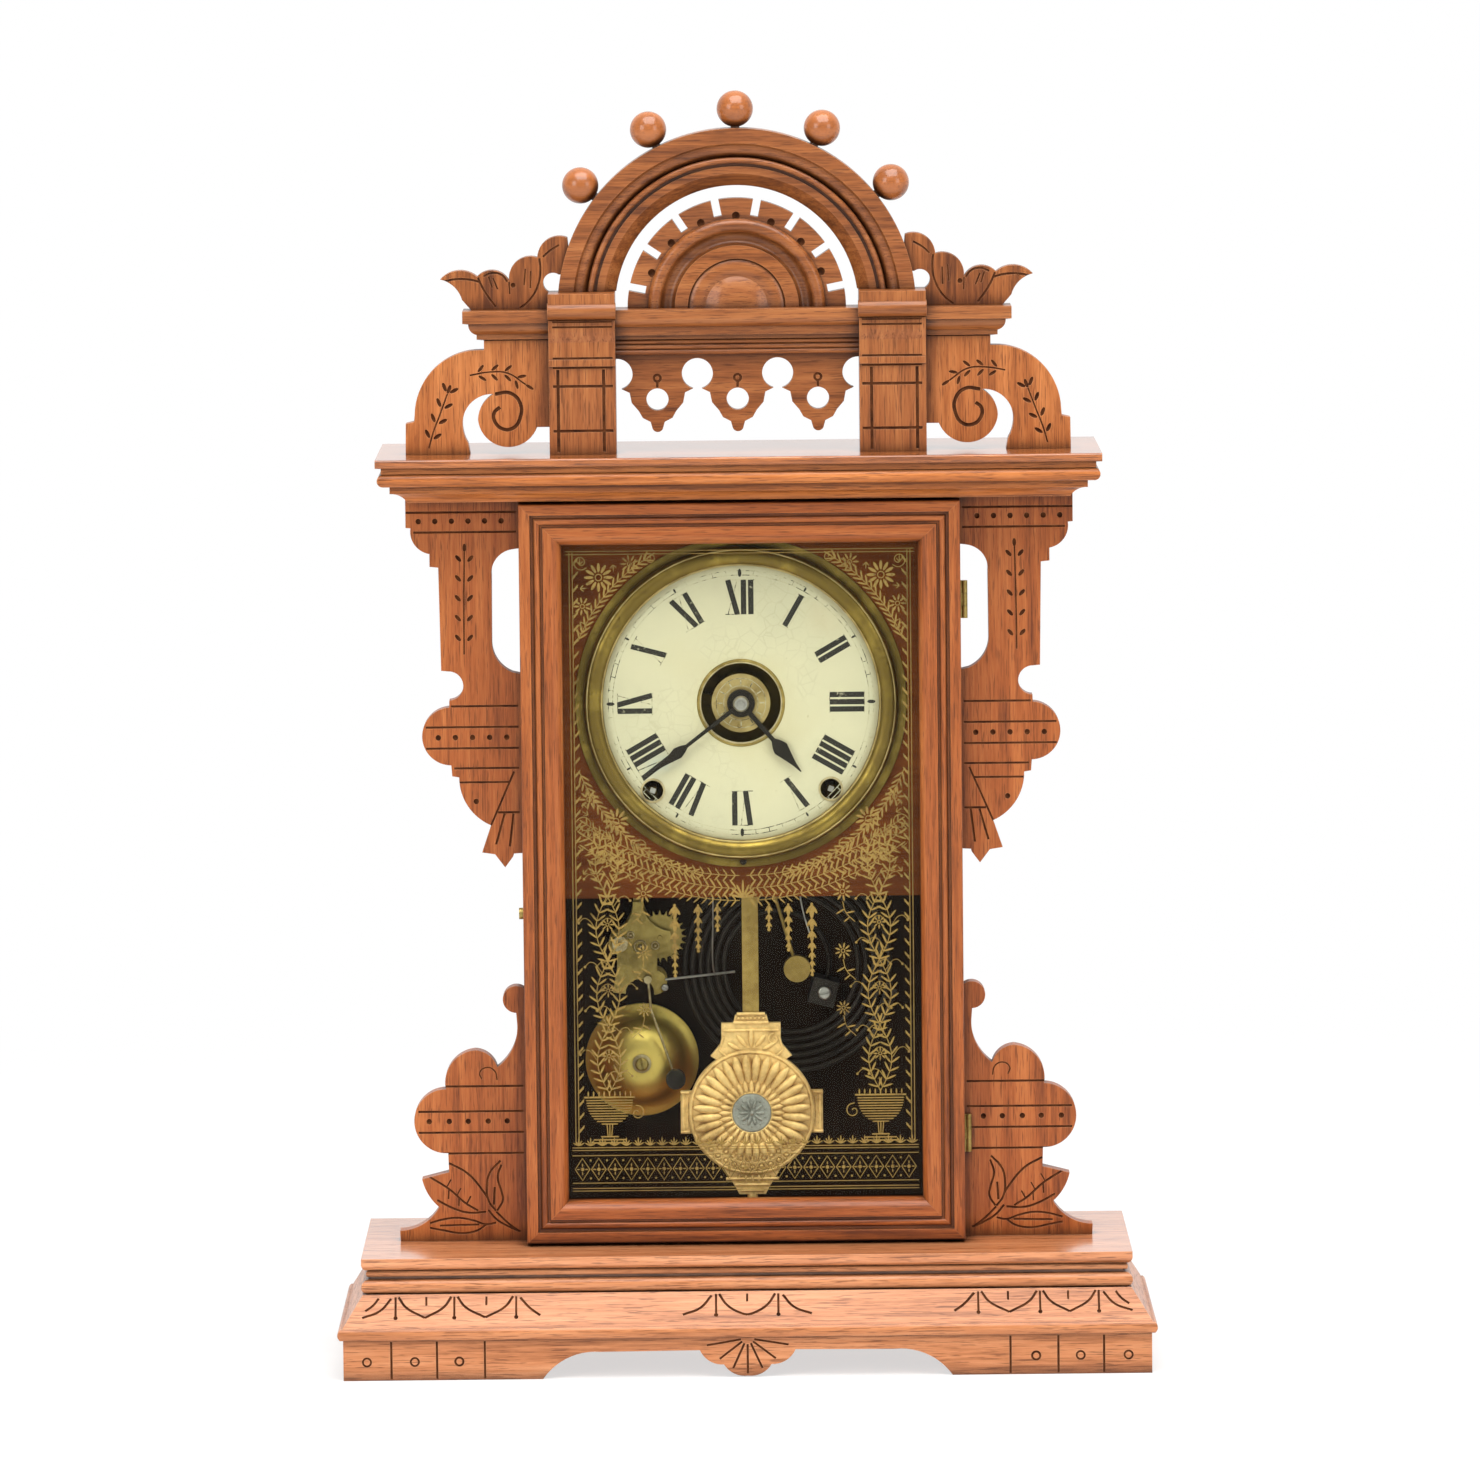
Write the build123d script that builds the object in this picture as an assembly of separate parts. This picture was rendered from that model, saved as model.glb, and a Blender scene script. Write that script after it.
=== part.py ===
"""Walnut parlour mantel clock with glass tablet door, striking gong and alarm bell.

Millimetres, +Z up, the dial faces -Y, origin on the floor under the middle of the base.
Every separate piece of the real clock is its own solid, written to parts/NODE.step.
"""
import math
import os

from build123d import *

# Overall depth and the clearances that the fits share
clock_depth = 130.0
back_y = clock_depth / 2
moving_gap = 0.4
running_fit = 0.05
press_gap = 0.02

# Base: plinth boards, sloped moulding with lip and bead, and the shelf that carries the case
base_width = 368.2
plinth_setback = 2.5
plinth_height = 18.4
plinth_thickness = 12.0
plinth_arch_reach = 92.0
plinth_arch_shoulder = 66.0
plinth_arch_rise = 12.4
pendant_half_width = 21.5
pendant_floor_gap = 0.6
moulding_depth = 26.0
lip_height = 5.1
slope_setback = 2.1
slope_run = 9.1
slope_rise = 14.2
bead_diameter = 6.6
bead_inset = 10.6
shelf_inset = 10.7
shelf_neck_inset = 4.0
shelf_neck_height = 4.1
shelf_edge_height = 5.5
shelf_edge_round = 3.0

# Case box between the shelf and the cornice
case_width = 199.0
case_height = 338.1
case_front_y = -5.0
side_thickness = 9.5
back_thickness = 5.0

# Cornice: board on top, crown moulding round the front and both ends
cornice_width = 325.6
cornice_front_y = -36.0
crown_height = 16.4
crown_depth = 26.0
crown_bead_diameter = 5.9
crown_bead_inset = 0.8
crown_fillet_inset = 6.3
crown_fillet_height = 3.2
crown_cove_inset = 14.0
crown_cove_height = 4.6
cornice_board_thickness = 3.8
case_top_thickness = 8.0

# Bracket wings, sawn from one thickness of board
wing_thickness = 9.0
wing_front_y = -3.0

# Crest: posts, scrolls, rails, fret, flowers, arch, rosette and balls
post_width = 30.0
post_height = 72.5
post_front_y = -12.0
post_back_y = 12.0
post_cap_overhang = 5.0
scroll_front_y = -4.0
scroll_thickness = 9.0
scroll_height = 51.2
rail_end_width = 246.8
rail_front_y = -12.0
rail_height = 13.6
fret_front_y = 0.0
fret_thickness = 7.0
fret_columns = 3
fret_end_gap = 0.5
fret_drop = 35.4
centre_rail_apron = 7.1
arch_ridge_radius = 67.6
arch_outer_width = 13.1
arch_inner_width = 12.8
arch_front_y = -3.0
arch_back_y = 12.0
rosette_gap = 5.6
rosette_steps = (0.813, 0.691, 0.569, 0.447, 0.285)
rosette_front_y = 1.0
rosette_back_y = 9.0
rosette_slots = 8
rosette_slot_width = 3.6
rosette_slot_depth = 7.5
ball_radius = 8.2
ball_angles = (-51.6, -26.0, 0.0, 26.0, 51.6)
ball_peg_radius = 2.0
ball_peg_length = 6.0
flower_thickness = 8.0
flower_front_y = 0.0

# Door: mitred frame, glass tablet, beads, hinges and catch pin
door_width = 198.4
door_height = 335.6
door_floor_gap = 1.2
door_thickness = 17.6
door_member_width = 19.0
glass_rebate = 6.5
glass_thickness = 2.0
glass_front_setback = 9.0
glass_side_gap = 0.4
glazing_bead_width = 5.5
glazing_bead_depth = 3.0
hinge_length = 17.0
hinge_inset = 46.2
hinge_knuckle_radius = 1.4
hinge_pin_radius = 0.7
hinge_leaf_thickness = 0.9
hinge_leaf_width = 9.0
hinge_knuckle_gap = 0.15
hinge_axis_offset = 2.1
catch_pin_height = 149.7
catch_pin_radius = 2.6
catch_pin_reach = 2.0
catch_shank_radius = 1.0
catch_shank_length = 5.0

# Dial
dial_centre_height = 244.1
dial_board_thickness = 6.0
dial_board_front_y = 3.0
dial_board_drop = 88.8
dial_pan_radius = 65.5
dial_pan_seat = 4.0
dial_hidden_rim = 3.1
dial_pan_thickness = 0.8
dial_opening_radius = 18.0
bezel_width = 7.9
bezel_flange_width = 4.7
bezel_rise = 5.0
bezel_wall = 0.8
winding_hole_radius = 4.7
winding_edge_x = 25.2
winding_edge_z = 25.9
grommet_lip = 0.9
alarm_disc_radius = 13.3
alarm_disc_thickness = 0.8

# Hands, set at about 4:39
minute_hand_length = 54.3
hour_hand_length = 41.3
minute_hand_angle = 232.5
hand_thickness = 0.6
hand_gap = 1.2
hand_point_width = 0.5
hand_leaf_length = 15.0
hour_stem_width = 2.4
hour_leaf_at = 27.5
hour_leaf_width = 7.2
minute_stem_width = 2.0
minute_leaf_at = 36.5
minute_leaf_width = 5.4
hour_eye_radius = 6.3
minute_eye_radius = 4.4
nut_radius = 3.7
nut_thickness = 2.2

# Movement plates, trains and motion work
plate_beyond_winding = 21.7
plate_top_above_centre = 54.0
plate_below_winding = 26.4
plate_thickness = 1.6
front_plate_y = 22.0
plate_spacing = 28.0
pillar_radius = 2.6
pillar_inset = 5.0
centre_arbor_radius = 1.5
pipe_wall = 1.4
motion_distance = 16.0
cannon_teeth = 16
motion_wheel_teeth = 48
motion_pinion_teeth = 15
hour_wheel_teeth = 60
motion_stud_radius = 1.2
wheel_thickness = 1.4
pinion_length = 3.6
great_wheel_radius = 20.0
great_wheel_teeth = 60
winding_arbor_radius = 2.4
winding_square = 3.2
mainspring_width = 14.0
mainspring_core_radius = 7.0

# Escapement and pendulum
pendulum_x = 3.0
pendulum_pivot_drop = 30.0
pendulum_y = 15.0
suspension_pin_radius = 1.0
escape_wheel_radius = 12.0
escape_wheel_teeth = 30
escape_drop = 21.0
rod_wire_radius = 1.2
rod_strap_width = 7.4
rod_strap_thickness = 1.2
bob_drop = 158.8
bob_radius = 28.8
bob_thickness = 4.0
bob_crown = 2.6
bob_tab_half_width = 32.4
bob_tab_height = 19.5
bob_neck_width = 27.0
medallion_radius = 9.0
medallion_thickness = 1.2

# Strike gong and hammer
gong_x = 20.0
gong_height = 118.1
gong_standoff = 10.0
gong_inner_radius = 29.0
gong_anchor_x = 19.0
gong_pitch = 3.6
gong_turns = 6
gong_wire_diameter = 2.0
gong_start_angle = -14.0
gong_block_size = 12.0
hammer_pivot_x = 4.3
hammer_pivot_drop = 58.0
hammer_arm_x = 20.1
hammer_arm_drop = 68.6
hammer_to_gong = 9.5
hammer_wire_radius = 0.8
hammer_head_radius = 6.1
hammer_head_thickness = 5.0

# Alarm: frame, wheel, winder, hammer and bell
alarm_x = -48.2
alarm_height = 129.0
alarm_frame_depth = 18.0
alarm_plate_thickness = 1.2
alarm_wheel_x = 10.0
alarm_wheel_rise = 3.2
alarm_wheel_radius = 12.2
alarm_wheel_teeth = 24
alarm_winder_x = -8.3
alarm_winder_rise = 0.7
alarm_winder_radius = 3.6
alarm_hammer_x = 4.3
alarm_hammer_rise = -15.6
alarm_hammer_reach = 12.3
alarm_hammer_drop = 45.8
alarm_hammer_to_bell = 2.6
alarm_hammer_wire_radius = 0.6
alarm_hammer_head_radius = 4.5
alarm_arbor_radius = 1.0
bell_x = -47.1
bell_height = 74.3
bell_radius = 26.0
bell_depth = 15.0
bell_standoff = 20.0
bell_wall = 1.2
bell_flat_radius = 5.0
bell_post_radius = 3.2
bell_screw_radius = 4.3

# Levels and places that follow from the sizes above
half_base = base_width / 2
base_front_y = -clock_depth / 2
moulding_top = plinth_height + lip_height + slope_rise + bead_diameter
shelf_top = moulding_top + shelf_neck_height + shelf_edge_height
soffit = shelf_top + case_height
half_case = case_width / 2
half_cornice = cornice_width / 2
crown_top = soffit + crown_height
crest_base = crown_top + cornice_board_thickness
rail_bottom = crest_base + scroll_height
rail_top = rail_bottom + rail_height
post_top = crest_base + post_height
arch_outer_radius = arch_ridge_radius + arch_outer_width
arch_inner_radius = arch_ridge_radius - arch_inner_width
rosette_radius = arch_inner_radius - rosette_gap
post_inner = arch_inner_radius
post_outer = post_inner + post_width
fret_pitch = 2 * (post_inner - fret_end_gap) / fret_columns
case_inner = half_case - side_thickness
back_face_y = back_y - back_thickness
half_door = door_width / 2
door_bottom = shelf_top + door_floor_gap
door_top = door_bottom + door_height
door_back_y = case_front_y - moving_gap
door_front_y = door_back_y - door_thickness
dial_z = shelf_top + dial_centre_height
dial_face_y = dial_board_front_y - 3.0
dial_board_hole_radius = dial_pan_radius - dial_pan_seat
dial_face_radius = dial_pan_radius - dial_hidden_rim
bezel_outer_radius = dial_face_radius + bezel_width
bezel_flange_radius = bezel_outer_radius + bezel_flange_width
winding_offset = dial_pan_radius - winding_edge_x
winding_drop = dial_pan_radius - winding_edge_z
winding_z = dial_z - winding_drop
back_plate_y = front_plate_y + plate_thickness + plate_spacing
pivot_z = dial_z - pendulum_pivot_drop
escape_z = pivot_z - escape_drop
bob_z = pivot_z - bob_drop
plate_width = 2 * (winding_offset + plate_beyond_winding)
plate_bottom_below_centre = winding_drop + plate_below_winding
pillar_x = plate_width / 2 - pillar_inset
pillar_low_z = dial_z - plate_bottom_below_centre + pillar_inset
pillar_high_z = dial_z + plate_top_above_centre - pillar_inset
spring_to_pillar = math.dist((winding_offset, winding_z), (pillar_x, pillar_low_z))
mainspring_radius = spring_to_pillar - pillar_radius - press_gap
gong_y = back_face_y - gong_standoff
gong_z = shelf_top + gong_height
hammer_y = gong_y - hammer_to_gong
alarm_front_y = back_face_y - alarm_frame_depth
alarm_z = shelf_top + alarm_height
bell_z = shelf_top + bell_height
bell_front_y = back_face_y - bell_standoff
alarm_hammer_y = bell_front_y - alarm_hammer_to_bell
hinge_x = half_door + hinge_axis_offset
hinge_y = (door_back_y + case_front_y) / 2


def edges_of(*steps):
    """Edges from a start point through points (straight runs) and (through, end) pairs (arcs)."""
    here = steps[0]
    edges = []
    for step in steps[1:]:
        if isinstance(step[0], tuple):
            edges.append(Edge.make_three_point_arc(here, step[0], step[1]))
            here = step[1]
        else:
            edges.append(Edge.make_line(here, step))
            here = step
    return edges


def outline(*steps):
    """Closed face in the local plane, ending with a straight run back to the start."""
    last = steps[-1][1] if isinstance(steps[-1][0], tuple) else steps[-1]
    edges = edges_of(*steps)
    if last != steps[0]:
        edges.append(Edge.make_line(last, steps[0]))
    return Face(Wire(edges))


def board(face, front, back):
    """A face drawn in X and Z, given its thickness from front to back."""
    return extrude(Plane.XZ.offset(-back) * face, amount=back - front, dir=(0, -1, 0))


def run(face, left, right):
    """A moulding section drawn in Y and Z, run from left to right."""
    return extrude(Plane.YZ.offset(left) * face, amount=right - left, dir=(1, 0, 0))


def turned(face, x, z, arc=360.0):
    """A section drawn in radius and Y, turned about an axis along Y at x, z."""
    return revolve(Pos(x, 0, z) * face, Axis((x, 0, z), (0, -1, 0)), arc)


def rod(x, z, radius, front, back):
    """A round bar along Y."""
    return board(Pos(x, z) * Circle(radius).face(), front, back)


def bar(start, end, radius):
    """A round wire between two points."""
    way = Vector(*end) - Vector(*start)
    return extrude(Plane(origin=start, z_dir=way) * Circle(radius).face(), amount=way.length)


def mirrored(shape):
    """The matching piece on the other side of the clock."""
    return mirror(shape, about=Plane.YZ)


def gear_face(teeth, module):
    """A wheel blank with straight-sided stub teeth, one tooth centred on the local X axis."""
    pitch_radius = teeth * module / 2
    tip = pitch_radius + 0.8 * module
    root = pitch_radius - 1.2 * module
    step = 2 * math.pi / teeth
    points = []
    for tooth in range(teeth):
        for radius, share in ((root, -0.30), (tip, -0.12), (tip, 0.12), (root, 0.30)):
            angle = (tooth + share) * step
            points.append((radius * math.cos(angle), radius * math.sin(angle)))
    return outline(*points)


def saw_face(teeth, tip, root):
    """A wheel blank with pointed, leaning teeth."""
    step = 2 * math.pi / teeth
    points = []
    for tooth in range(teeth):
        for radius, share in ((tip, 0.0), (root, 0.25), (root, 0.75)):
            angle = (tooth + share) * step
            points.append((radius * math.cos(angle), radius * math.sin(angle)))
    return outline(*points)


def save(name, *solids):
    """Write one node, as its separate solids."""
    pieces = [solid for shape in solids for solid in shape.solids()]
    export_step(Compound(children=pieces), f"parts/{name}.step")


def mitred_moulding(section, half_width, front, back, depth):
    """A section in (inset, height) run round the front and both ends, mitred at the corners."""
    front_zone = outline(
        (-half_width, front),
        (half_width, front),
        (half_width - depth, front + depth),
        (depth - half_width, front + depth),
    )
    side_zone = outline(
        (half_width, front),
        (half_width, back),
        (half_width - depth, back),
        (half_width - depth, front + depth),
    )
    front_run = run(Pos(front, 0) * section, -half_width, half_width)
    side_run = board(Pos(half_width, 0) * mirror(section, about=Plane.YZ), front, back)
    tall = 2 * soffit
    front_piece = front_run & extrude(front_zone, amount=tall, dir=(0, 0, 1))
    side_piece = side_run & extrude(side_zone, amount=tall, dir=(0, 0, 1))
    return front_piece, side_piece, mirrored(side_piece)


def make_plinth():
    """Front board with two arches and a pendant, and the side boards behind it."""
    half = half_base - plinth_setback
    front = base_front_y + plinth_setback
    shoulder_z = plinth_arch_rise - 0.3
    right_half = outline(
        (0, plinth_height),
        (half, plinth_height),
        (half, 0),
        (plinth_arch_reach, 0),
        ((plinth_arch_shoulder + 15.0, 9.4), (plinth_arch_shoulder, shoulder_z)),
        (pendant_half_width, plinth_arch_rise),
        ((pendant_half_width - 3.2, 8.2), (pendant_half_width - 10.8, 5.8)),
        ((pendant_half_width - 14.8, 1.9), (0, pendant_floor_gap)),
    )
    front_half = board(right_half, front, front + plinth_thickness)
    save("plinth_front", front_half + mirrored(front_half))
    side = extrude(
        outline(
            (half - plinth_thickness, front + plinth_thickness),
            (half, front + plinth_thickness),
            (half, back_y),
            (half - plinth_thickness, back_y),
        ),
        amount=plinth_height,
        dir=(0, 0, 1),
    )
    save("plinth_sides", side, mirrored(side))


def make_base():
    """Sloped moulding with a rounded lip below and a bead above, then the shelf."""
    lip_top = plinth_height + lip_height
    slope_top = lip_top + slope_rise
    bead_centre = bead_inset + bead_diameter / 2
    section = outline(
        (moulding_depth, plinth_height),
        (1.2, plinth_height),
        ((0, plinth_height + lip_height / 2), (1.2, lip_top)),
        (slope_setback, lip_top),
        (slope_setback + slope_run, slope_top),
        (bead_centre, slope_top),
        ((bead_inset, slope_top + bead_diameter / 2), (bead_centre, moulding_top)),
        (moulding_depth, moulding_top),
    )
    save("base_moulding", *mitred_moulding(section, half_base, base_front_y, back_y, moulding_depth))
    half = half_base - shelf_inset
    front = base_front_y + shelf_inset
    from_back = (Align.CENTER, Align.MAX)
    neck = Rectangle(2 * (half - shelf_neck_inset), back_y - front - shelf_neck_inset, align=from_back)
    top = Rectangle(2 * half, back_y - front, align=from_back)
    slab = extrude(Pos(0, back_y, moulding_top + shelf_neck_height) * top, amount=shelf_edge_height)
    low_edges = slab.edges().group_by(Axis.Z)[0].sort_by(Axis.Y)[:-1]
    slab = fillet(low_edges, shelf_edge_round)
    save("base_board", slab + extrude(Pos(0, back_y, moulding_top) * neck, amount=shelf_neck_height))


def hinge_levels():
    """Middle heights of the two door hinges."""
    return door_bottom + hinge_inset, door_top - hinge_inset


def hinge_pockets(face_y):
    """The shallow recesses that let the hinge leaves into a wooden face."""
    size = Box(hinge_leaf_width + half_case, hinge_leaf_thickness * 2, hinge_length + 2 * press_gap)
    shift = half_door - hinge_leaf_width - press_gap + (hinge_leaf_width + half_case) / 2
    return [Pos(shift, face_y, level) * size for level in hinge_levels()]


def make_case():
    """Sides, back and top of the case box."""
    middle_z = (shelf_top + soffit) / 2
    side_box = Box(side_thickness, back_face_y - case_front_y, case_height)
    side = Pos((case_inner + half_case) / 2, (case_front_y + back_face_y) / 2, middle_z) * side_box
    save("case_side_left", mirrored(side))
    for pocket in hinge_pockets(case_front_y):
        side = side - pocket
    save("case_side_right", side)
    back = Box(case_width, back_thickness, case_height)
    save("case_back_board", Pos(0, (back_face_y + back_y) / 2, middle_z) * back)
    top_half = half_cornice - crown_depth
    top_front = cornice_front_y + crown_depth
    top = Box(2 * top_half, back_y - top_front, case_top_thickness)
    save("case_top_board", Pos(0, (top_front + back_y) / 2, soffit + case_top_thickness / 2) * top)


def make_cornice():
    """Crown moulding with cove, fillet and bead, and the board that covers it."""
    bead_low = soffit + crown_cove_height + crown_fillet_height
    bead_high = bead_low + crown_bead_diameter
    bead_centre = crown_bead_inset + crown_bead_diameter / 2
    neck = crown_bead_inset + 1.8
    cove_top = soffit + crown_cove_height
    section = outline(
        (crown_depth, soffit),
        (crown_cove_inset, soffit),
        ((crown_cove_inset - 3.0, soffit + 3.2), (crown_fillet_inset, cove_top)),
        (crown_fillet_inset, bead_low),
        (bead_centre, bead_low),
        ((crown_bead_inset, (bead_low + bead_high) / 2), (bead_centre, bead_high)),
        (neck, bead_high),
        (neck, crown_top),
        (crown_depth, crown_top),
    )
    save("cornice_moulding", *mitred_moulding(section, half_cornice, cornice_front_y, back_y, crown_depth))
    slab = Pos(0, (cornice_front_y + back_y) / 2, crown_top + cornice_board_thickness / 2) * Box(
        cornice_width, back_y - cornice_front_y, cornice_board_thickness
    )
    front_edge = slab.edges().filter_by(Axis.X).group_by(Axis.Y)[0]
    save("cornice_board", fillet(front_edge, cornice_board_thickness * 0.3))


def upper_wing():
    """Bracket under the cornice, drawn as distance out from the case side and drop from the soffit."""
    face = outline(
        (0, 0),
        (51.0, 0),
        (51.0, -12.9),
        (48.8, -13.1),
        ((46.6, -21.2), (40.4, -24.8)),
        (40.4, -30.6),
        (36.5, -31.0),
        (35.8, -77.8),
        (32.5, -78.1),
        ((25.9, -84.9), (32.3, -91.3)),
        (32.4, -94.5),
        ((44.8, -107.8), (31.8, -120.8)),
        (31.4, -125.8),
        (28.3, -126.3),
        ((23.5, -140.9), (14.1, -148.3)),
        (18.3, -160.6),
        (12.5, -161.5),
        (8.0, -167.5),
        (4.3, -162.5),
        (3.9, -161.2),
        (0, -161.0),
        (0, -79.6),
        (3.6, -78.8),
        ((9.6, -74.2), (12.7, -64.5)),
        (12.5, -35.0),
        ((9.2, -26.0), (3.0, -23.0)),
        (0, -22.6),
    )
    return board(Pos(half_case, soffit) * face, wing_front_y, wing_front_y + wing_thickness)


def lower_wing():
    """Bracket on the shelf, drawn as distance out from the case side and height above the shelf."""
    face = outline(
        (0, 0),
        (0, 115.1),
        ((9.9, 110.3), (3.9, 104.1)),
        (3.5, 98.9),
        ((5.9, 87.5), (12.8, 79.3)),
        ((16.7, 85.0), (22.7, 87.2)),
        ((31.8, 83.2), (36.3, 69.5)),
        ((50.8, 55.1), (35.6, 40.1)),
        (35.3, 31.4),
        (47.6, 28.3),
        ((45.0, 21.5), (40.0, 15.4)),
        ((46.1, 8.6), (57.9, 4.8)),
        (57.7, 0),
    )
    return board(Pos(half_case, shelf_top) * face, wing_front_y, wing_front_y + wing_thickness)


def make_wings():
    """Four bracket wings glued to the case sides."""
    upper = upper_wing()
    save("upper_wing_right", upper)
    save("upper_wing_left", mirrored(upper))
    lower = lower_wing()
    save("lower_wing_right", lower)
    save("lower_wing_left", mirrored(lower))


def make_posts():
    """Moulded posts that carry the arch, one section run across the width of the post."""
    cap_front = post_front_y - post_cap_overhang
    section = outline(
        (post_back_y, crest_base),
        (post_back_y, post_top),
        (cap_front, post_top),
        (cap_front, post_top - 4.5),
        ((cap_front + 1.1, post_top - 8.6), (post_front_y - 1.2, post_top - 12.1)),
        (post_front_y - 2.0, post_top - 12.1),
        (post_front_y - 2.0, post_top - 14.4),
        ((post_front_y - 1.9, post_top - 18.6), (post_front_y - 0.8, post_top - 22.0)),
        (post_front_y - 0.8, post_top - 29.7),
        (post_front_y - 1.3, post_top - 29.7),
        (post_front_y - 1.3, post_top - 32.8),
        (post_front_y, post_top - 32.8),
        (post_front_y, crest_base),
    )
    post = run(section, post_inner, post_outer)
    save("crest_posts", post, mirrored(post))


def make_scrolls():
    """Fret-sawn scroll brackets, drawn from the outer face of the post and up from the cornice."""
    eye_x = 19.6
    face = outline(
        (0, scroll_height),
        (29.2, scroll_height),
        (29.2, 47.0),
        (30.9, 47.0),
        ((52.2, 38.3), (60.8, 18.5)),
        (61.1, 14.9),
        (64.9, 14.0),
        (65.1, 0),
        (35.9, 0),
        (36.9, 5.1),
        ((38.7, 9.3), (39.3, 14.3)),
        ((35.4, 23.2), (25.1, 27.1)),
        ((30.6, 21.8), (32.3, 15.5)),
        ((eye_x + 0.7, 3.2), (5.7, 12.0)),
        (0, 12.0),
    )
    scroll = board(Pos(post_outer, crest_base) * face, scroll_front_y, scroll_front_y + scroll_thickness)
    save("crest_scrolls", scroll, mirrored(scroll))


def make_rails():
    """Moulded rail between the posts and a returned end rail outside each post."""
    half_rail = rail_end_width / 2
    end_section = (
        (0, rail_top),
        (0, rail_top - 5.5),
        (2.6, rail_top - 6.0),
        ((4.0, rail_top - 9.6), (6.2, rail_top - 10.9)),
        (6.2, rail_top - 13.0),
        (9.7, rail_bottom),
    )
    front_steps = shifted(end_section, rail_front_y, 1)
    front_face = outline((post_back_y, rail_top), *front_steps, (post_back_y, rail_bottom))
    return_face = outline((0, rail_top), *shifted(end_section, half_rail, -1), (0, rail_bottom))
    end_block = run(front_face, post_outer, half_rail) & board(return_face, rail_front_y, post_back_y)
    apron_bottom = rail_bottom - centre_rail_apron
    reed = centre_rail_apron / 3
    reeds = []
    for number in range(3):
        low = rail_bottom - (number + 1) * reed
        reeds.append(((-5.0, low + reed / 2), (-4.0, low)))
    centre_section = outline(
        (post_back_y, rail_bottom),
        (post_back_y, rail_top),
        (rail_front_y, rail_top),
        (rail_front_y, rail_top - 4.1),
        ((rail_front_y + 1.2, rail_top - 6.9), (rail_front_y + 3.5, rail_top - 8.1)),
        (rail_front_y + 3.5, rail_top - 11.7),
        (rail_front_y + 6.0, rail_top - 11.7),
        (rail_front_y + 6.0, rail_bottom),
        (-4.0, rail_bottom),
        *reeds,
        (fret_front_y, apron_bottom),
        (fret_front_y, rail_bottom),
    )
    centre = run(centre_section, -post_inner, post_inner)
    save("crest_rails", centre, end_block, mirrored(end_block))


def shifted(section, start, sign):
    """A section's insets turned into places, counted from start in the direction of sign."""
    moved = []
    for step in section:
        if isinstance(step[0], tuple):
            moved.append(tuple((start + sign * x, z) for x, z in step))
        else:
            moved.append((start + sign * step[0], step[1]))
    return moved


def make_fret():
    """Pierced panel with three scalloped pendants below keyhole cut-outs."""
    barb_z = rail_bottom - 22.7
    hole_z = rail_bottom - 16.1
    tip_z = barb_z + 20.0 - fret_drop
    hole_radius = 7.0
    gap = 3.6
    panel = Pos(0, (barb_z + rail_bottom) / 2) * Rectangle(2 * post_inner, rail_bottom - barb_z).face()
    pendant = outline(
        (-fret_pitch / 2 + gap / 2, barb_z),
        (-12.5, barb_z - 1.8),
        (-11.6, barb_z - 6.4),
        (-8.5, barb_z - 10.0),
        (-6.7, barb_z - 13.2),
        (-3.2, barb_z - 15.0),
        (-2.3, barb_z - 18.2),
        ((0, tip_z - 4.2), (2.3, barb_z - 18.2)),
        (3.2, barb_z - 15.0),
        (6.7, barb_z - 13.2),
        (8.5, barb_z - 10.0),
        (11.6, barb_z - 6.4),
        (12.5, barb_z - 1.8),
        (fret_pitch / 2 - gap / 2, barb_z),
    )
    cutters = []
    for column in (-1, 0, 1):
        panel = panel + Pos(column * fret_pitch, 0) * pendant
        cutters.append(Pos(column * fret_pitch, hole_z - 11.5) * Circle(5.0).face())
    for column in (-1.5, -0.5, 0.5, 1.5):
        cutters.append(Pos(column * fret_pitch, hole_z) * Circle(hole_radius).face())
        slot_low = barb_z - 1.0
        slot = Rectangle(gap, hole_z - slot_low).face()
        cutters.append(Pos(column * fret_pitch, (slot_low + hole_z) / 2) * slot)
    for cutter in cutters:
        panel = panel - cutter
    save("crest_fret_panel", board(panel, fret_front_y, fret_front_y + fret_thickness))


def make_flowers():
    """Leafy flower boards by the arch, drawn from the outer face of the post and up from the rail."""
    face = outline(
        (0, 0),
        (34.9, 0),
        (38.9, 4.6),
        ((42.8, 10.9), (48.6, 13.9)),
        ((40.2, 17.8), (32.0, 15.0)),
        ((25.2, 17.8), (17.6, 13.0)),
        ((12.8, 22.6), (4.8, 23.4)),
        ((1.0, 30.8), (-8.8, 32.2)),
        (-10.3, 15.6),
        (-4.8, 15.6),
        ((2.1, 13.2), (0, 8.0)),
    )
    face = Pos(post_outer, rail_top) * face - Pos(0, rail_top) * Circle(arch_outer_radius).face()
    flower = board(face, flower_front_y, flower_front_y + flower_thickness)
    save("crest_flowers", flower, mirrored(flower))


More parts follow.
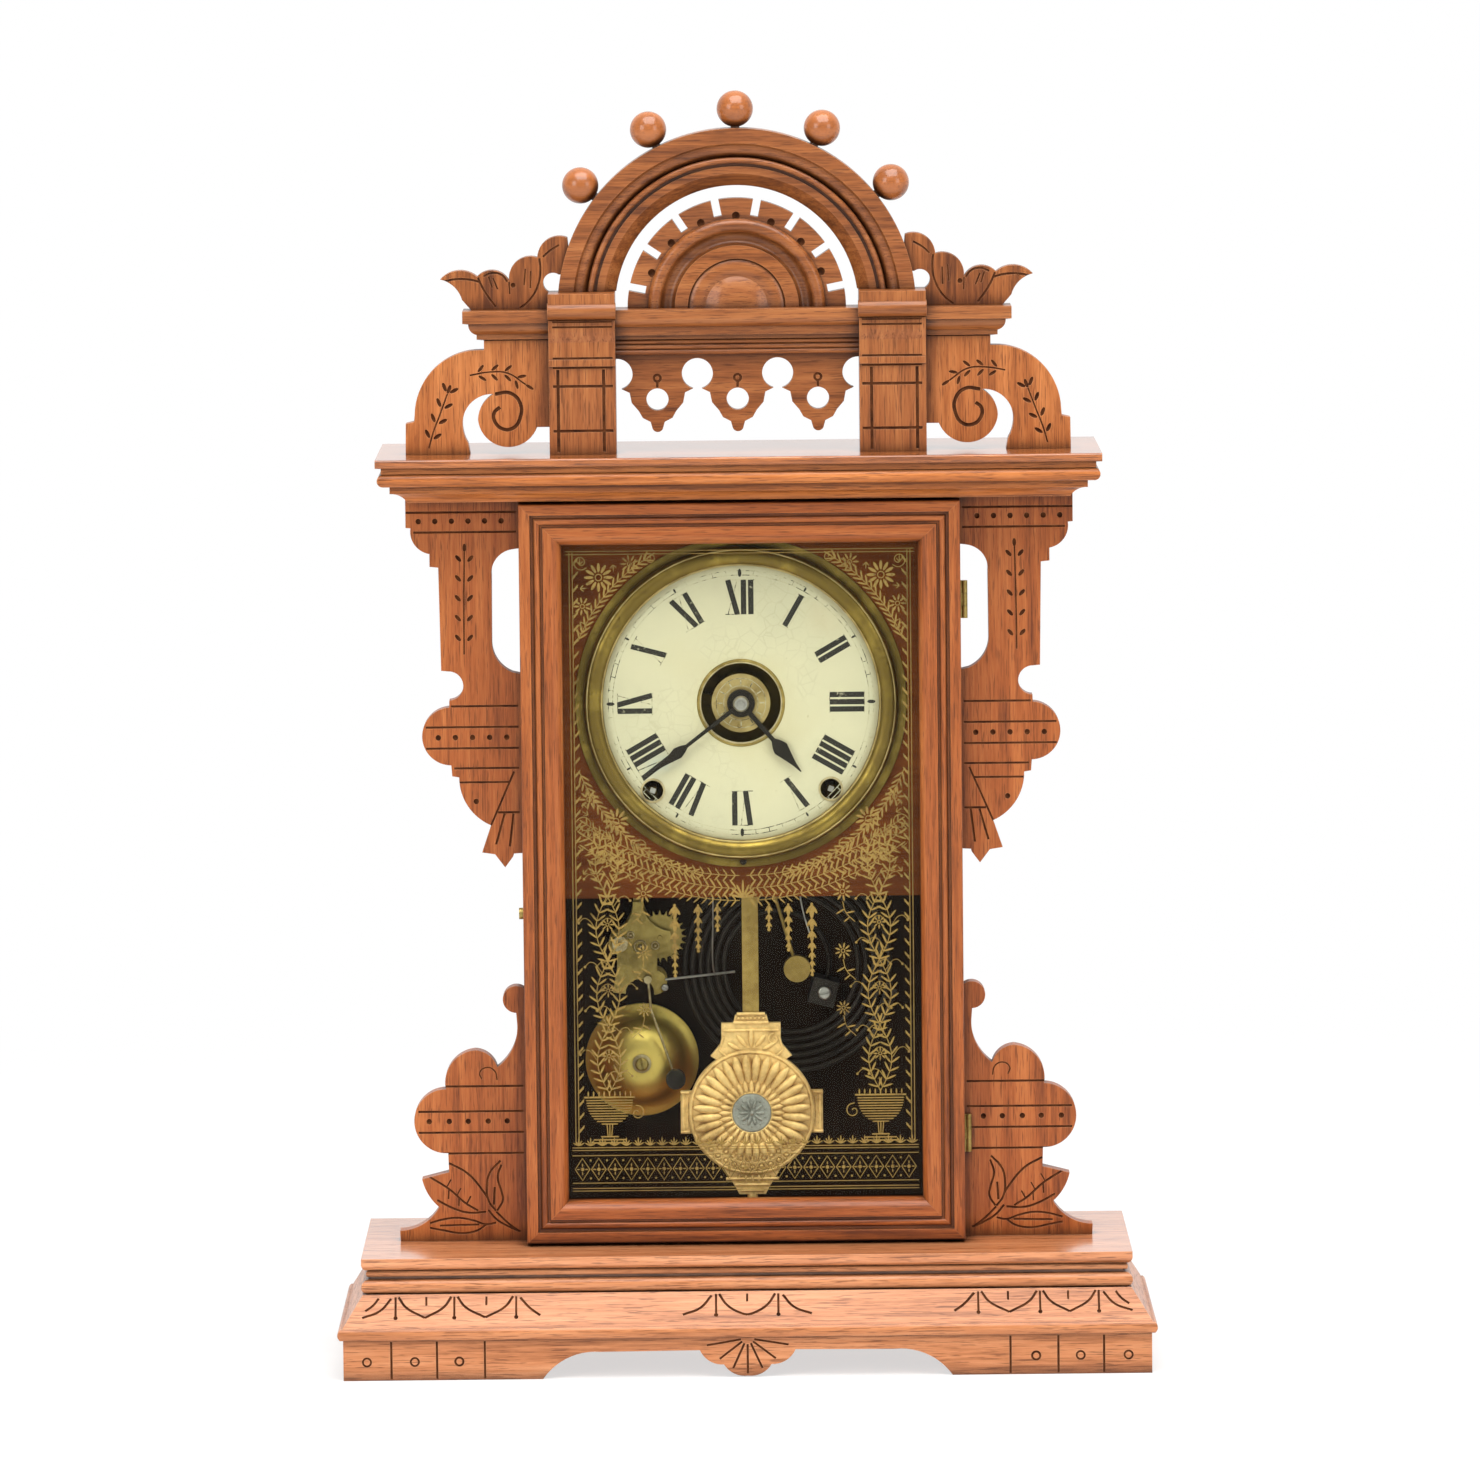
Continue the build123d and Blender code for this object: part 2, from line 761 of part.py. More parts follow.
def make_arch():
    """Half-round moulding standing on the posts, with seats for the ball pegs."""
    section = outline(
        (arch_outer_radius, arch_back_y),
        (arch_outer_radius, arch_front_y),
        (arch_outer_radius - 6.8, arch_front_y),
        (arch_outer_radius - 7.8, arch_front_y + 1.6),
        (arch_outer_radius - 9.0, arch_front_y + 1.6),
        ((arch_outer_radius - 11.6, arch_front_y + 3.0), (arch_ridge_radius, arch_front_y + 5.4)),
        (arch_ridge_radius, arch_front_y + 2.4),
        ((arch_ridge_radius - 1.4, arch_front_y + 1.2), (arch_ridge_radius - 2.7, arch_front_y + 2.4)),
        (arch_ridge_radius - 2.7, arch_front_y + 4.2),
        (arch_ridge_radius - 4.1, arch_front_y + 4.2),
        (arch_ridge_radius - 4.1, arch_front_y + 3.0),
        (arch_inner_radius + 5.5, arch_front_y + 3.0),
        (arch_inner_radius + 3.7, arch_front_y + 4.6),
        (arch_inner_radius, arch_front_y + 8.0),
        (arch_inner_radius, arch_back_y),
    )
    arch = turned(section, 0, rail_top, 180)
    reach = 4 * arch_outer_radius
    below = Pos(0, 0, rail_top) * Box(reach, reach, 2 * (post_top - rail_top))
    arch = arch - below
    middle_y = (arch_front_y + arch_back_y) / 2
    balls = []
    for angle in ball_angles:
        turn = Pos(0, middle_y, rail_top) * Rot(0, angle, 0)
        seat = arch_outer_radius - ball_peg_length
        hole = Cylinder(ball_peg_radius + press_gap, ball_peg_length + ball_radius, align=LOW)
        arch = arch - turn * (Pos(0, 0, seat - press_gap) * hole)
        ball = Pos(0, 0, arch_outer_radius + ball_radius + 0.3) * Sphere(ball_radius)
        peg = Pos(0, 0, seat) * Cylinder(ball_peg_radius, ball_peg_length + ball_radius, align=LOW)
        balls.append(turn * (ball + peg))
    save("crest_arch", arch)
    save("crest_balls", *balls)


def make_rosette():
    """Half of a turned rosette with sawn slots round its rim."""
    front = rosette_front_y
    rim, bead, cove, step, boss = (share * rosette_radius for share in rosette_steps)
    section = outline(
        (0, rosette_back_y),
        (rosette_radius, rosette_back_y),
        (rosette_radius, front),
        (rim, front),
        (rim, front - 1.2),
        (((rim + bead) / 2, front - 3.4), (bead, front - 1.2)),
        (((bead + cove) / 2, front + 1.2), (cove, front - 1.0)),
        (cove, front - 2.2),
        (step, front - 2.6),
        (step, front - 1.4),
        (((step + boss) / 2, front - 2.6), (boss, front - 2.0)),
        ((boss / 2, front - 4.4), (0, front - 5.0)),
    )
    rosette = turned(section, 0, rail_top, 180)
    pitch = 180 / rosette_slots
    slot = Box(2 * rosette_slot_depth, 4 * (rosette_back_y - front), rosette_slot_width)
    for number in range(rosette_slots):
        angle = (number + 0.5) * pitch
        place = Pos(0, front, rail_top) * Rot(0, -angle, 0)
        rosette = rosette - place * (Pos(rosette_radius, 0, 0) * slot)
    save("crest_rosette", rosette)


def make_door():
    """Mitred frame with reeded mouldings, rebated for the glass and its beads."""
    front = door_front_y
    width = door_member_width
    glass_y = front + glass_front_setback
    section = outline(
        (0, door_back_y),
        (0, front + 0.8),
        ((0.25, front + 0.25), (0.8, front)),
        (5.0, front),
        (5.4, front + 2.0),
        (6.4, front + 2.0),
        ((8.0, front + 0.7), (9.6, front + 2.0)),
        (10.4, front + 2.0),
        (10.8, front + 0.6),
        (width - 4.2, front + 0.6),
        ((width - 1.4, front + 2.6), (width, front + 6.4)),
        (width, glass_y),
        (width - glass_rebate, glass_y),
        (width - glass_rebate, door_back_y),
    )
    middle = (door_bottom + door_top) / 2
    half_height = door_height / 2
    tall = 4 * door_thickness
    across = extrude(Pos(-half_door, 0, 0) * section, amount=door_height, both=True)
    upright = Pos(0, 0, middle) * across
    stile_zone = outline(
        (-half_door, door_bottom),
        (width - half_door, door_bottom + width),
        (width - half_door, door_top - width),
        (-half_door, door_top),
    )
    left = upright & board(stile_zone, front - tall, front + tall)
    right = mirrored(left)
    for pocket in hinge_pockets(door_back_y):
        right = right - pocket
    pin_z = door_bottom + catch_pin_height
    pin_y = (front + door_back_y) / 2
    pin_bore = Cylinder(catch_shank_radius + press_gap, 2 * (catch_shank_length + press_gap))
    pin_hole = Pos(-half_door, pin_y, pin_z) * Rot(0, 90, 0) * pin_bore
    save("door_stile_left", left - pin_hole)
    save("door_stile_right", right)
    lying = run(outline(*swapped_rail_section(section)), -half_door, half_door)
    rail_zone = outline(
        (-half_door, door_top),
        (width - half_door, door_top - width),
        (half_door - width, door_top - width),
        (half_door, door_top),
    )
    top = lying & board(rail_zone, front - tall, front + tall)
    save("door_rail_top", top)
    save("door_rail_bottom", Pos(0, 0, 2 * middle) * mirror(top, about=Plane.XY))
    glass_half = half_door - width + glass_rebate - glass_side_gap
    glass_tall = half_height - width + glass_rebate - glass_side_gap
    glass = Rectangle(2 * glass_half, 2 * glass_tall).face()
    save("door_glass", board(Pos(0, middle) * glass, glass_y, glass_y + glass_thickness))
    make_beads(middle, half_height, glass_y + glass_thickness)
    pin_head = Pos(-half_door - catch_pin_reach, pin_y, pin_z) * Rot(0, 90, 0)
    knob = Cylinder(catch_pin_radius, catch_pin_reach, align=LOW)
    shank = Cylinder(catch_shank_radius, catch_pin_reach + catch_shank_length, align=LOW)
    save("door_catch_pin", pin_head * (knob + shank))


def swapped_rail_section(section):
    """The stile section's corners, set for the top rail in Y and Z, as (through, end) arcs where curved."""
    steps = []
    for edge in section.outer_wire().order_edges():
        start, middle, end = (edge.position_at(share) for share in (0, 0.5, 1))
        if not steps:
            steps.append((start.Y, door_top - start.X))
        if edge.geom_type == GeomType.CIRCLE:
            steps.append(((middle.Y, door_top - middle.X), (end.Y, door_top - end.X)))
        else:
            steps.append((end.Y, door_top - end.X))
    return steps


def make_beads(middle, half_height, front):
    """Four strips that hold the glass in its rebate."""
    outer_x = half_door - door_member_width + glass_rebate - press_gap
    outer_z = half_height - door_member_width + glass_rebate - press_gap
    beads = []
    for side in (-1, 1):
        upright = Box(glazing_bead_width, glazing_bead_depth, 2 * outer_z)
        lying = Box(2 * (outer_x - glazing_bead_width - press_gap), glazing_bead_depth, glazing_bead_width)
        y = front + glazing_bead_depth / 2
        beads.append(Pos(side * (outer_x - glazing_bead_width / 2), y, middle) * upright)
        beads.append(Pos(0, y, middle + side * (outer_z - glazing_bead_width / 2)) * lying)
    save("door_glass_beads", *beads)


def knuckle(level, low, high, bore):
    """One hinge knuckle as a sleeve round the pin."""
    sleeve = Circle(hinge_knuckle_radius).face() - Circle(bore).face()
    return extrude(Pos(hinge_x, hinge_y, level + low) * sleeve, amount=high - low, dir=(0, 0, 1))


def hinge_leaf(level, low, high, front, back):
    """Flat leaf let into the wood, running out to its knuckle."""
    start = half_door - hinge_leaf_width
    plate = Box(hinge_x - start, back - front, high - low)
    return Pos((start + hinge_x) / 2, (front + back) / 2, level + (low + high) / 2) * plate


def make_hinges():
    """Two butt hinges: middle knuckle on the door, outer knuckles and pin on the case."""
    half = hinge_length / 2
    third = hinge_length / 6
    door_leaves = []
    case_leaves = []
    bore = hinge_pin_radius + running_fit
    for level in hinge_levels():
        clear = rod_z(level, half + 1, bore)
        leaf = hinge_leaf(level, -half, half, door_back_y - hinge_leaf_thickness, door_back_y)
        keep_out = Pos(hinge_x, hinge_y, level)
        notch_tall = hinge_length / 3 + hinge_knuckle_gap
        barrel = Cylinder(hinge_knuckle_radius + moving_gap / 2, notch_tall)
        for side in (-1, 1):
            leaf = leaf - keep_out * (Pos(0, 0, side * hinge_length / 3) * barrel)
        leaf = leaf + knuckle(level, hinge_knuckle_gap - third, third - hinge_knuckle_gap, bore)
        door_leaves.append(leaf - clear)
        fixed = hinge_leaf(level, -half, half, case_front_y, case_front_y + hinge_leaf_thickness)
        middle_tall = hinge_length / 3 + 2 * hinge_knuckle_gap
        middle_barrel = Cylinder(hinge_knuckle_radius + moving_gap / 2, middle_tall)
        fixed = fixed - keep_out * middle_barrel
        for low, high in ((-half, -third), (third, half)):
            fixed = fixed + knuckle(level, low, high, hinge_pin_radius + press_gap)
        case_leaves.append(fixed - rod_z(level, half + 1, hinge_pin_radius + press_gap))
        case_leaves.append(rod_z(level, half, hinge_pin_radius))
    save("door_hinge_leaves", *door_leaves)
    save("case_hinge_leaves", *case_leaves)


def rod_z(level, half, radius):
    """A pin along Z on the hinge axis."""
    return Pos(hinge_x, hinge_y, level) * Cylinder(radius, 2 * half)


def make_dial():
    """Wooden dial board, zinc dial pan, pressed brass bezel and winding-hole grommets."""
    board_back = dial_board_front_y + dial_board_thickness
    board_low = dial_z - dial_board_drop
    panel = Pos(0, (board_low + soffit) / 2) * Rectangle(2 * case_inner, soffit - board_low).face()
    hole = Pos(0, dial_z) * Circle(dial_board_hole_radius).face()
    save("dial_board", board(panel, dial_board_front_y, board_back) - board(hole, 0, board_back + 1))
    pan_back = dial_face_y + dial_pan_thickness
    rim = dial_pan_radius - dial_pan_thickness
    pan = turned(
        outline(
            (dial_opening_radius, dial_face_y),
            (dial_pan_radius, dial_face_y),
            (dial_pan_radius, dial_board_front_y),
            (rim, dial_board_front_y),
            (rim, pan_back),
            (dial_opening_radius, pan_back),
        ),
        0,
        dial_z,
    )
    grommets = []
    tube = winding_hole_radius + 0.4
    for side in (-1, 1):
        x = side * winding_offset
        pan = pan - rod(x, winding_z, tube + press_gap, dial_face_y - 1, pan_back + 1)
        ring = outline(
            (winding_hole_radius, pan_back + 1.0),
            (winding_hole_radius, dial_face_y - 0.6),
            (winding_hole_radius + grommet_lip, dial_face_y - 0.4),
            (winding_hole_radius + grommet_lip, dial_face_y),
            (tube, dial_face_y),
            (tube, pan_back + 1.0),
        )
        grommets.append(turned(ring, x, winding_z))
    save("dial_pan", pan)
    save("winding_grommets", *grommets)
    seat = dial_face_y
    crest = (dial_face_radius + bezel_outer_radius) / 2
    flange_front = dial_board_front_y - bezel_wall
    bezel = turned(
        outline(
            (dial_face_radius, seat),
            (dial_face_radius, seat - bezel_wall),
            ((crest, seat - bezel_rise), (bezel_outer_radius, flange_front)),
            (bezel_flange_radius, flange_front),
            (bezel_flange_radius, dial_board_front_y),
            (bezel_outer_radius - bezel_wall, dial_board_front_y),
            ((crest + 0.5, seat - bezel_rise + 1.6), (dial_face_radius + 1.6, seat)),
        ),
        0,
        dial_z,
    )
    save("dial_bezel", bezel)


def hand(length, eye, bore, stem, leaf_at, leaf_width, back):
    """A hand along +Z with a round eye, a slim stem and a pear-shaped leaf before its point."""
    leaf_start = leaf_at - hand_leaf_length * 0.35
    leaf_end = leaf_at + hand_leaf_length * 0.65
    half_leaf = leaf_width / 2
    half_stem = stem / 2
    half = outline(
        (0, 0),
        (half_stem, 0),
        (half_stem * 0.8, leaf_start),
        ((half_leaf * 0.75, leaf_start + hand_leaf_length * 0.18), (half_leaf, leaf_at)),
        ((half_leaf * 0.55, leaf_at + hand_leaf_length * 0.36), (half_stem * 0.7, leaf_end)),
        (hand_point_width / 2, length),
        (0, length),
    )
    front = back - hand_thickness
    side = board(half, front, back)
    return side + mirrored(side) + rod(0, 0, eye, front, back) - rod(0, 0, bore, front - 1, back + 1)


def make_hands():
    """Hour and minute hands, the alarm disc behind them and the nut in front."""
    pipe_outer = centre_arbor_radius + running_fit + pipe_wall
    disc_back = dial_face_y - 0.2
    disc_front = disc_back - alarm_disc_thickness
    disc = Circle(alarm_disc_radius).face() - Circle(pipe_outer + running_fit).face()
    save("alarm_disc", board(Pos(0, dial_z) * disc, disc_front, disc_back))
    hour_back = disc_front - hand_gap
    minute_back = hour_back - hand_thickness - hand_gap
    hour_angle = (4 + minute_hand_angle / 360) * 30
    pipe_bore = pipe_outer + press_gap
    arbor_bore = centre_arbor_radius + press_gap
    hour = hand(
        hour_hand_length,
        hour_eye_radius,
        pipe_bore,
        hour_stem_width,
        hour_leaf_at,
        hour_leaf_width,
        hour_back,
    )
    minute = hand(
        minute_hand_length,
        minute_eye_radius,
        arbor_bore,
        minute_stem_width,
        minute_leaf_at,
        minute_leaf_width,
        minute_back,
    )
    save("hour_hand", Pos(0, 0, dial_z) * Rot(0, hour_angle, 0) * hour)
    save("minute_hand", Pos(0, 0, dial_z) * Rot(0, minute_hand_angle, 0) * minute)
    nut_back = minute_back - hand_thickness
    nut = turned(
        outline(
            (centre_arbor_radius + press_gap, nut_back),
            (centre_arbor_radius + press_gap, nut_back - nut_thickness),
            (nut_radius - 0.9, nut_back - nut_thickness),
            ((nut_radius - 0.3, nut_back - nut_thickness * 0.6), (nut_radius, nut_back)),
        ),
        0,
        dial_z,
    )
    save("hand_nut", nut)
    return pipe_outer, hour_back, nut_back


def make_motion_work(pipe_outer, hour_back, nut_back):
    """Twelve-to-one gearing: cannon pinion, motion wheel with pinion, hour wheel with pipe."""
    slow_module = 2 * motion_distance / (cannon_teeth + motion_wheel_teeth)
    quick_module = 2 * motion_distance / (motion_pinion_teeth + hour_wheel_teeth)
    motion_wheel_back = front_plate_y - moving_gap
    motion_wheel_front = motion_wheel_back - wheel_thickness
    hour_wheel_back = motion_wheel_front - 1.6
    hour_wheel_front = hour_wheel_back - wheel_thickness
    arbor_back = back_plate_y + plate_thickness
    cannon = board(gear_face(cannon_teeth, slow_module), motion_wheel_front - 0.6, motion_wheel_back)
    arbor = rod(0, 0, centre_arbor_radius, nut_back - nut_thickness - 0.8, arbor_back)
    save("centre_arbor", Pos(0, 0, dial_z) * (cannon + arbor))
    stud = Pos(-motion_distance, 0, dial_z)
    half_tooth = 180 / motion_wheel_teeth
    wheel_face = gear_face(motion_wheel_teeth, slow_module)
    wheel = Rot(0, half_tooth, 0) * board(wheel_face, motion_wheel_front, motion_wheel_back)
    pinion_face = gear_face(motion_pinion_teeth, quick_module)
    pinion = board(pinion_face, motion_wheel_front - pinion_length, motion_wheel_front)
    bore = rod(0, 0, motion_stud_radius + running_fit, 0, front_plate_y)
    save("motion_wheel", stud * (wheel + pinion - bore))
    hour_tooth = 180 / hour_wheel_teeth
    hour_face = gear_face(hour_wheel_teeth, quick_module)
    hour_wheel = Rot(0, hour_tooth, 0) * board(hour_face, hour_wheel_front, hour_wheel_back)
    pipe = rod(0, 0, pipe_outer, hour_back - hand_thickness, hour_wheel_back)
    pipe_bore = rod(0, 0, centre_arbor_radius + running_fit, hour_back - 5, front_plate_y)
    save("hour_wheel", Pos(0, 0, dial_z) * (hour_wheel + pipe - pipe_bore))


def make_movement():
    """Plates with pillars and feet, mainsprings, and the two great wheels on their winding arbors."""
    top = dial_z + plate_top_above_centre
    bottom = dial_z - plate_bottom_below_centre
    front_back = front_plate_y + plate_thickness
    rear = back_plate_y + plate_thickness
    blank = Pos(0, (top + bottom) / 2) * RectangleRounded(plate_width, top - bottom, 6.0).face()
    window = Pos(0, dial_z + plate_top_above_centre * 0.62) * SlotOverall(plate_width * 0.5, 14.0).face()
    corners = []
    for side in (-1, 1):
        corners.append((side * pillar_x, pillar_high_z))
        corners.append((side * pillar_x, pillar_low_z))
    front_plate = board(blank, front_plate_y, front_back) - board(window, front_plate_y - 1, front_back + 1)
    back_plate = board(blank, back_plate_y, rear)
    pivots = [
        (0, dial_z, centre_arbor_radius),
        (-winding_offset, winding_z, winding_arbor_radius),
        (winding_offset, winding_z, winding_arbor_radius),
        (pendulum_x, escape_z, alarm_arbor_radius),
        (hammer_pivot_x, dial_z - hammer_pivot_drop, alarm_arbor_radius),
    ]
    for x, z, radius in pivots:
        front_plate = front_plate - rod(x, z, radius + running_fit, front_plate_y - 1, front_back + 1)
        back_plate = back_plate - rod(x, z, radius + running_fit, back_plate_y - 1, rear + 1)
    wheel_reach = wheel_thickness + 1.6 + wheel_thickness + 0.8
    stud = rod(-motion_distance, dial_z, motion_stud_radius, front_plate_y - wheel_reach, front_plate_y)
    pin = rod(pendulum_x, pivot_z, suspension_pin_radius, pendulum_y - 2.4, front_plate_y)
    frame = [front_plate + stud + pin, back_plate]
    for x, z in corners:
        frame.append(rod(x, z, pillar_radius, front_back, back_plate_y))
        frame.append(rod(x, z, pillar_radius, rear, back_face_y))
    save("movement_frame", *frame)
    spring_middle = (front_back + back_plate_y) / 2 + 3.0
    spring_face = Circle(mainspring_radius).face() - Circle(mainspring_core_radius).face()
    spring_front = spring_middle - mainspring_width / 2
    spring_place = Pos(winding_offset, winding_z)
    spring = board(spring_place * spring_face, spring_front, spring_front + mainspring_width)
    save("mainsprings", spring, mirrored(spring))
    for name, side in (("strike_great_wheel", -1), ("time_great_wheel", 1)):
        save(name, great_wheel(side, front_back, rear))


def great_wheel(side, front_back, rear):
    """Toothed great wheel with its ratchet on a squared winding arbor."""
    module = 2 * great_wheel_radius / (great_wheel_teeth + 1.6)
    wheel_front = front_back + 1.0
    ratchet_front = wheel_front + wheel_thickness
    wheel = board(gear_face(great_wheel_teeth, module), wheel_front, ratchet_front)
    ratchet = board(saw_face(14, 9.0, 7.4), ratchet_front, ratchet_front + wheel_thickness)
    arbor = rod(0, 0, winding_arbor_radius, front_plate_y - 2.0, rear)
    square_face = Rectangle(winding_square, winding_square).face()
    square = board(square_face, dial_face_y + dial_pan_thickness + 0.6, front_plate_y - 2.0)
    return Pos(side * winding_offset, 0, winding_z) * (wheel + ratchet + arbor + square)


def make_escapement():
    """Escape wheel, and the strip verge whose crutch drives the pendulum rod."""
    wheel_back = front_plate_y - moving_gap
    wheel_front = wheel_back - 1.0
    teeth = saw_face(escape_wheel_teeth, escape_wheel_radius, escape_wheel_radius - 2.0)
    wheel = board(teeth, wheel_front, wheel_back)
    arbor = rod(0, 0, alarm_arbor_radius, wheel_front - 0.2, back_plate_y + plate_thickness)
    save("escape_wheel", Pos(pendulum_x, 0, escape_z) * (wheel + arbor))
    reach = escape_wheel_radius * 0.72
    drop = escape_drop - escape_wheel_radius * 0.72 - 2.4
    strip = outline(
        (-reach - 0.9, -drop),
        (-reach - 0.4, -drop + 4.0),
        ((-3.0, 2.0), (0, 2.6)),
        ((3.0, 2.0), (reach + 0.4, -drop + 4.0)),
        (reach + 0.9, -drop),
        (reach, -drop),
        (reach - 0.9, -drop + 4.0),
        ((2.4, -1.6), (0, -2.0)),
        ((-2.4, -1.6), (-reach + 0.9, -drop + 4.0)),
        (-reach, -drop),
    )
    verge = board(strip, wheel_front, wheel_back) + rod(0, 0, 2.4, wheel_front - 2.2, wheel_back)
    wire_y = wheel_front - 1.4
    fork_z = -24.0
    verge = verge + bar((0, wire_y, 0), (0, wire_y, fork_z), 0.6)
    fork_half = rod_wire_radius + 0.5
    fork = Pos(0, wire_y, fork_z) * Box(2 * fork_half + 2.0, 1.2, 1.6)
    for side in (-1, 1):
        prong = Box(1.0, wire_y - pendulum_y + 2.0, 1.6)
        fork = fork + Pos(side * (fork_half + 0.5), (wire_y + pendulum_y - 2.0) / 2, fork_z) * prong
    hole = rod(0, 0, suspension_pin_radius + running_fit, 0, front_plate_y + 1)
    save("verge", Pos(pendulum_x, 0, pivot_z) * (verge + fork - hole))


def make_pendulum():
    """Wire and flat strap hung from an eye, and a pressed bob with side tabs and a silver medallion."""
    strap_top = pivot_z - 40.0
    eye = rod(pendulum_x, pivot_z, 2.6, pendulum_y - 1.6, pendulum_y + 1.0)
    eye = eye - rod(pendulum_x, pivot_z, suspension_pin_radius + running_fit, 0, front_plate_y)
    wire_start = (pendulum_x, pendulum_y, pivot_z - 2.0)
    wire = bar(wire_start, (pendulum_x, pendulum_y, strap_top - 4.0), rod_wire_radius)
    strap_low = bob_z + bob_radius
    strap_box = Box(rod_strap_width, rod_strap_thickness, strap_top - strap_low)
    strap = Pos(pendulum_x, pendulum_y, (strap_top + strap_low) / 2) * strap_box
    save("pendulum_rod", eye + wire + strap)
    half_neck = bob_neck_width / 2
    back = pendulum_y + bob_thickness / 2
    front = pendulum_y - bob_thickness / 2
    half_tab = bob_tab_height / 2
    plate = outline(
        (-half_neck, bob_radius - 6.0),
        (-half_neck - 5.0, bob_radius - 3.0),
        (-half_neck, bob_radius + 3.0),
        (-half_neck, bob_radius + 12.0),
        (-8.0, bob_radius + 12.0),
        (-7.2, bob_radius + 15.5),
        (7.2, bob_radius + 15.5),
        (8.0, bob_radius + 12.0),
        (half_neck, bob_radius + 12.0),
        (half_neck, bob_radius + 3.0),
        (half_neck + 5.0, bob_radius - 3.0),
        (half_neck, bob_radius - 6.0),
    )
    tabs = Pos(0, 0) * Rectangle(2 * bob_tab_half_width, bob_tab_height).face()
    foot = outline(
        (-15.0, -bob_radius + 6.0),
        (-7.5, -bob_radius - 6.0),
        (-6.0, -bob_radius - 9.0),
        (6.0, -bob_radius - 9.0),
        (7.5, -bob_radius - 6.0),
        (15.0, -bob_radius + 6.0),
    )
    flat = board(plate, front, back) + board(tabs, front + 0.6, back - 0.4) + board(foot, front, back)
    seat = front - bob_crown
    disc = turned(
        outline(
            (0, back),
            (bob_radius, back),
            (bob_radius, front - 0.6),
            (bob_radius - 2.0, front - 1.2),
            ((bob_radius * 0.62, seat - 0.4), (medallion_radius + 1.4, seat)),
            (medallion_radius + 1.4, seat - 0.4),
            (medallion_radius + press_gap, seat - 0.4),
            (medallion_radius + press_gap, seat + medallion_thickness),
            (0, seat + medallion_thickness),
        ),
        0,
        0,
    )
    play = 2 * press_gap
    slot_box = Box(rod_strap_width + play, rod_strap_thickness + play, 16.0)
    slot = Pos(0, pendulum_y, bob_radius + 8.0) * slot_box
    nut = Pos(0, pendulum_y, -bob_radius - 11.0) * Cylinder(2.4, 4.0)
    bob = flat + disc + nut - slot
    place = Pos(pendulum_x, 0, bob_z)
    save("pendulum_bob", place * bob)
    medallion = turned(
        outline(
            (0, seat + medallion_thickness),
            (medallion_radius, seat + medallion_thickness),
            (medallion_radius, seat - 0.2),
            (medallion_radius - 0.8, seat - 0.5),
            (0, seat - 0.5),
        ),
        0,
        0,
    )
    save("bob_medallion", place * medallion)


def make_gong():
    """Flat spiral of one unbroken wire, its inner end held square in an iron block."""
    half_step = gong_pitch / 2
    edges = []
    radius = (gong_anchor_x + gong_inner_radius) / 2
    x = gong_anchor_x
    samples = []
    lead = gong_wire_diameter
    edges.append(Edge.make_line((x, -lead), (x, 0)))
    for half_turn in range(2 * gong_turns):
        upward = half_turn % 2 == 0
        centre = x - radius if upward else x + radius
        sign = 1 if upward else -1
        end = x - sign * 2 * radius
        edges.append(Edge.make_three_point_arc((x, 0), (centre, sign * radius), (end, 0)))
        for step in range(24):
            angle = math.pi * step / 24
            place_x = centre + sign * radius * math.cos(angle)
            samples.append((half_turn, step, place_x, sign * radius * math.sin(angle)))
        x = end
        radius = gong_inner_radius + (half_turn + 1) * half_step
    path = Wire(edges)
    wire_start = Plane(origin=(gong_anchor_x, -lead, 0), z_dir=(0, 1, 0))
    wire_face = wire_start * Circle(gong_wire_diameter / 2).face()
    coil = sweep(wire_face, path=path)
    least = min(
        math.dist(first[2:], second[2:])
        for first in samples
        for second in samples
        if second[0] * 24 + second[1] - first[0] * 24 - first[1] > 24
    )
    print("gong: least gap between turns", round(least - gong_wire_diameter, 3))
    place = Pos(gong_x, gong_y, gong_z) * Rot(0, -gong_start_angle, 0) * Rot(90, 0, 0)
    save("gong_coil", place * coil)
    half_block = gong_block_size / 2
    block_depth = back_face_y - gong_y
    block_z = -lead - half_block
    block = Box(gong_block_size, gong_block_size, block_depth + half_block)
    post = Pos(gong_anchor_x, block_z, -(block_depth - half_block) / 2) * block
    save("gong_base", place * post)


def make_strike_hammer():
    """Hammer on an arbor in the movement plates, a wire arm and a round brass head."""
    end_x = hammer_arm_x
    end_z = -hammer_arm_drop
    arbor = rod(0, 0, alarm_arbor_radius, front_plate_y, back_plate_y + plate_thickness)
    collar = rod(0, 0, 2.4, hammer_y - 2.0, hammer_y + 2.0)
    arm = bar((0, hammer_y, 0), (end_x, hammer_y, end_z), hammer_wire_radius)
    head_front = hammer_y - hammer_head_thickness / 2
    head = rod(end_x, end_z, hammer_head_radius, head_front, head_front + hammer_head_thickness)
    place = Pos(hammer_pivot_x, 0, dial_z - hammer_pivot_drop)
    save("strike_hammer", place * (arbor + collar + arm + head))


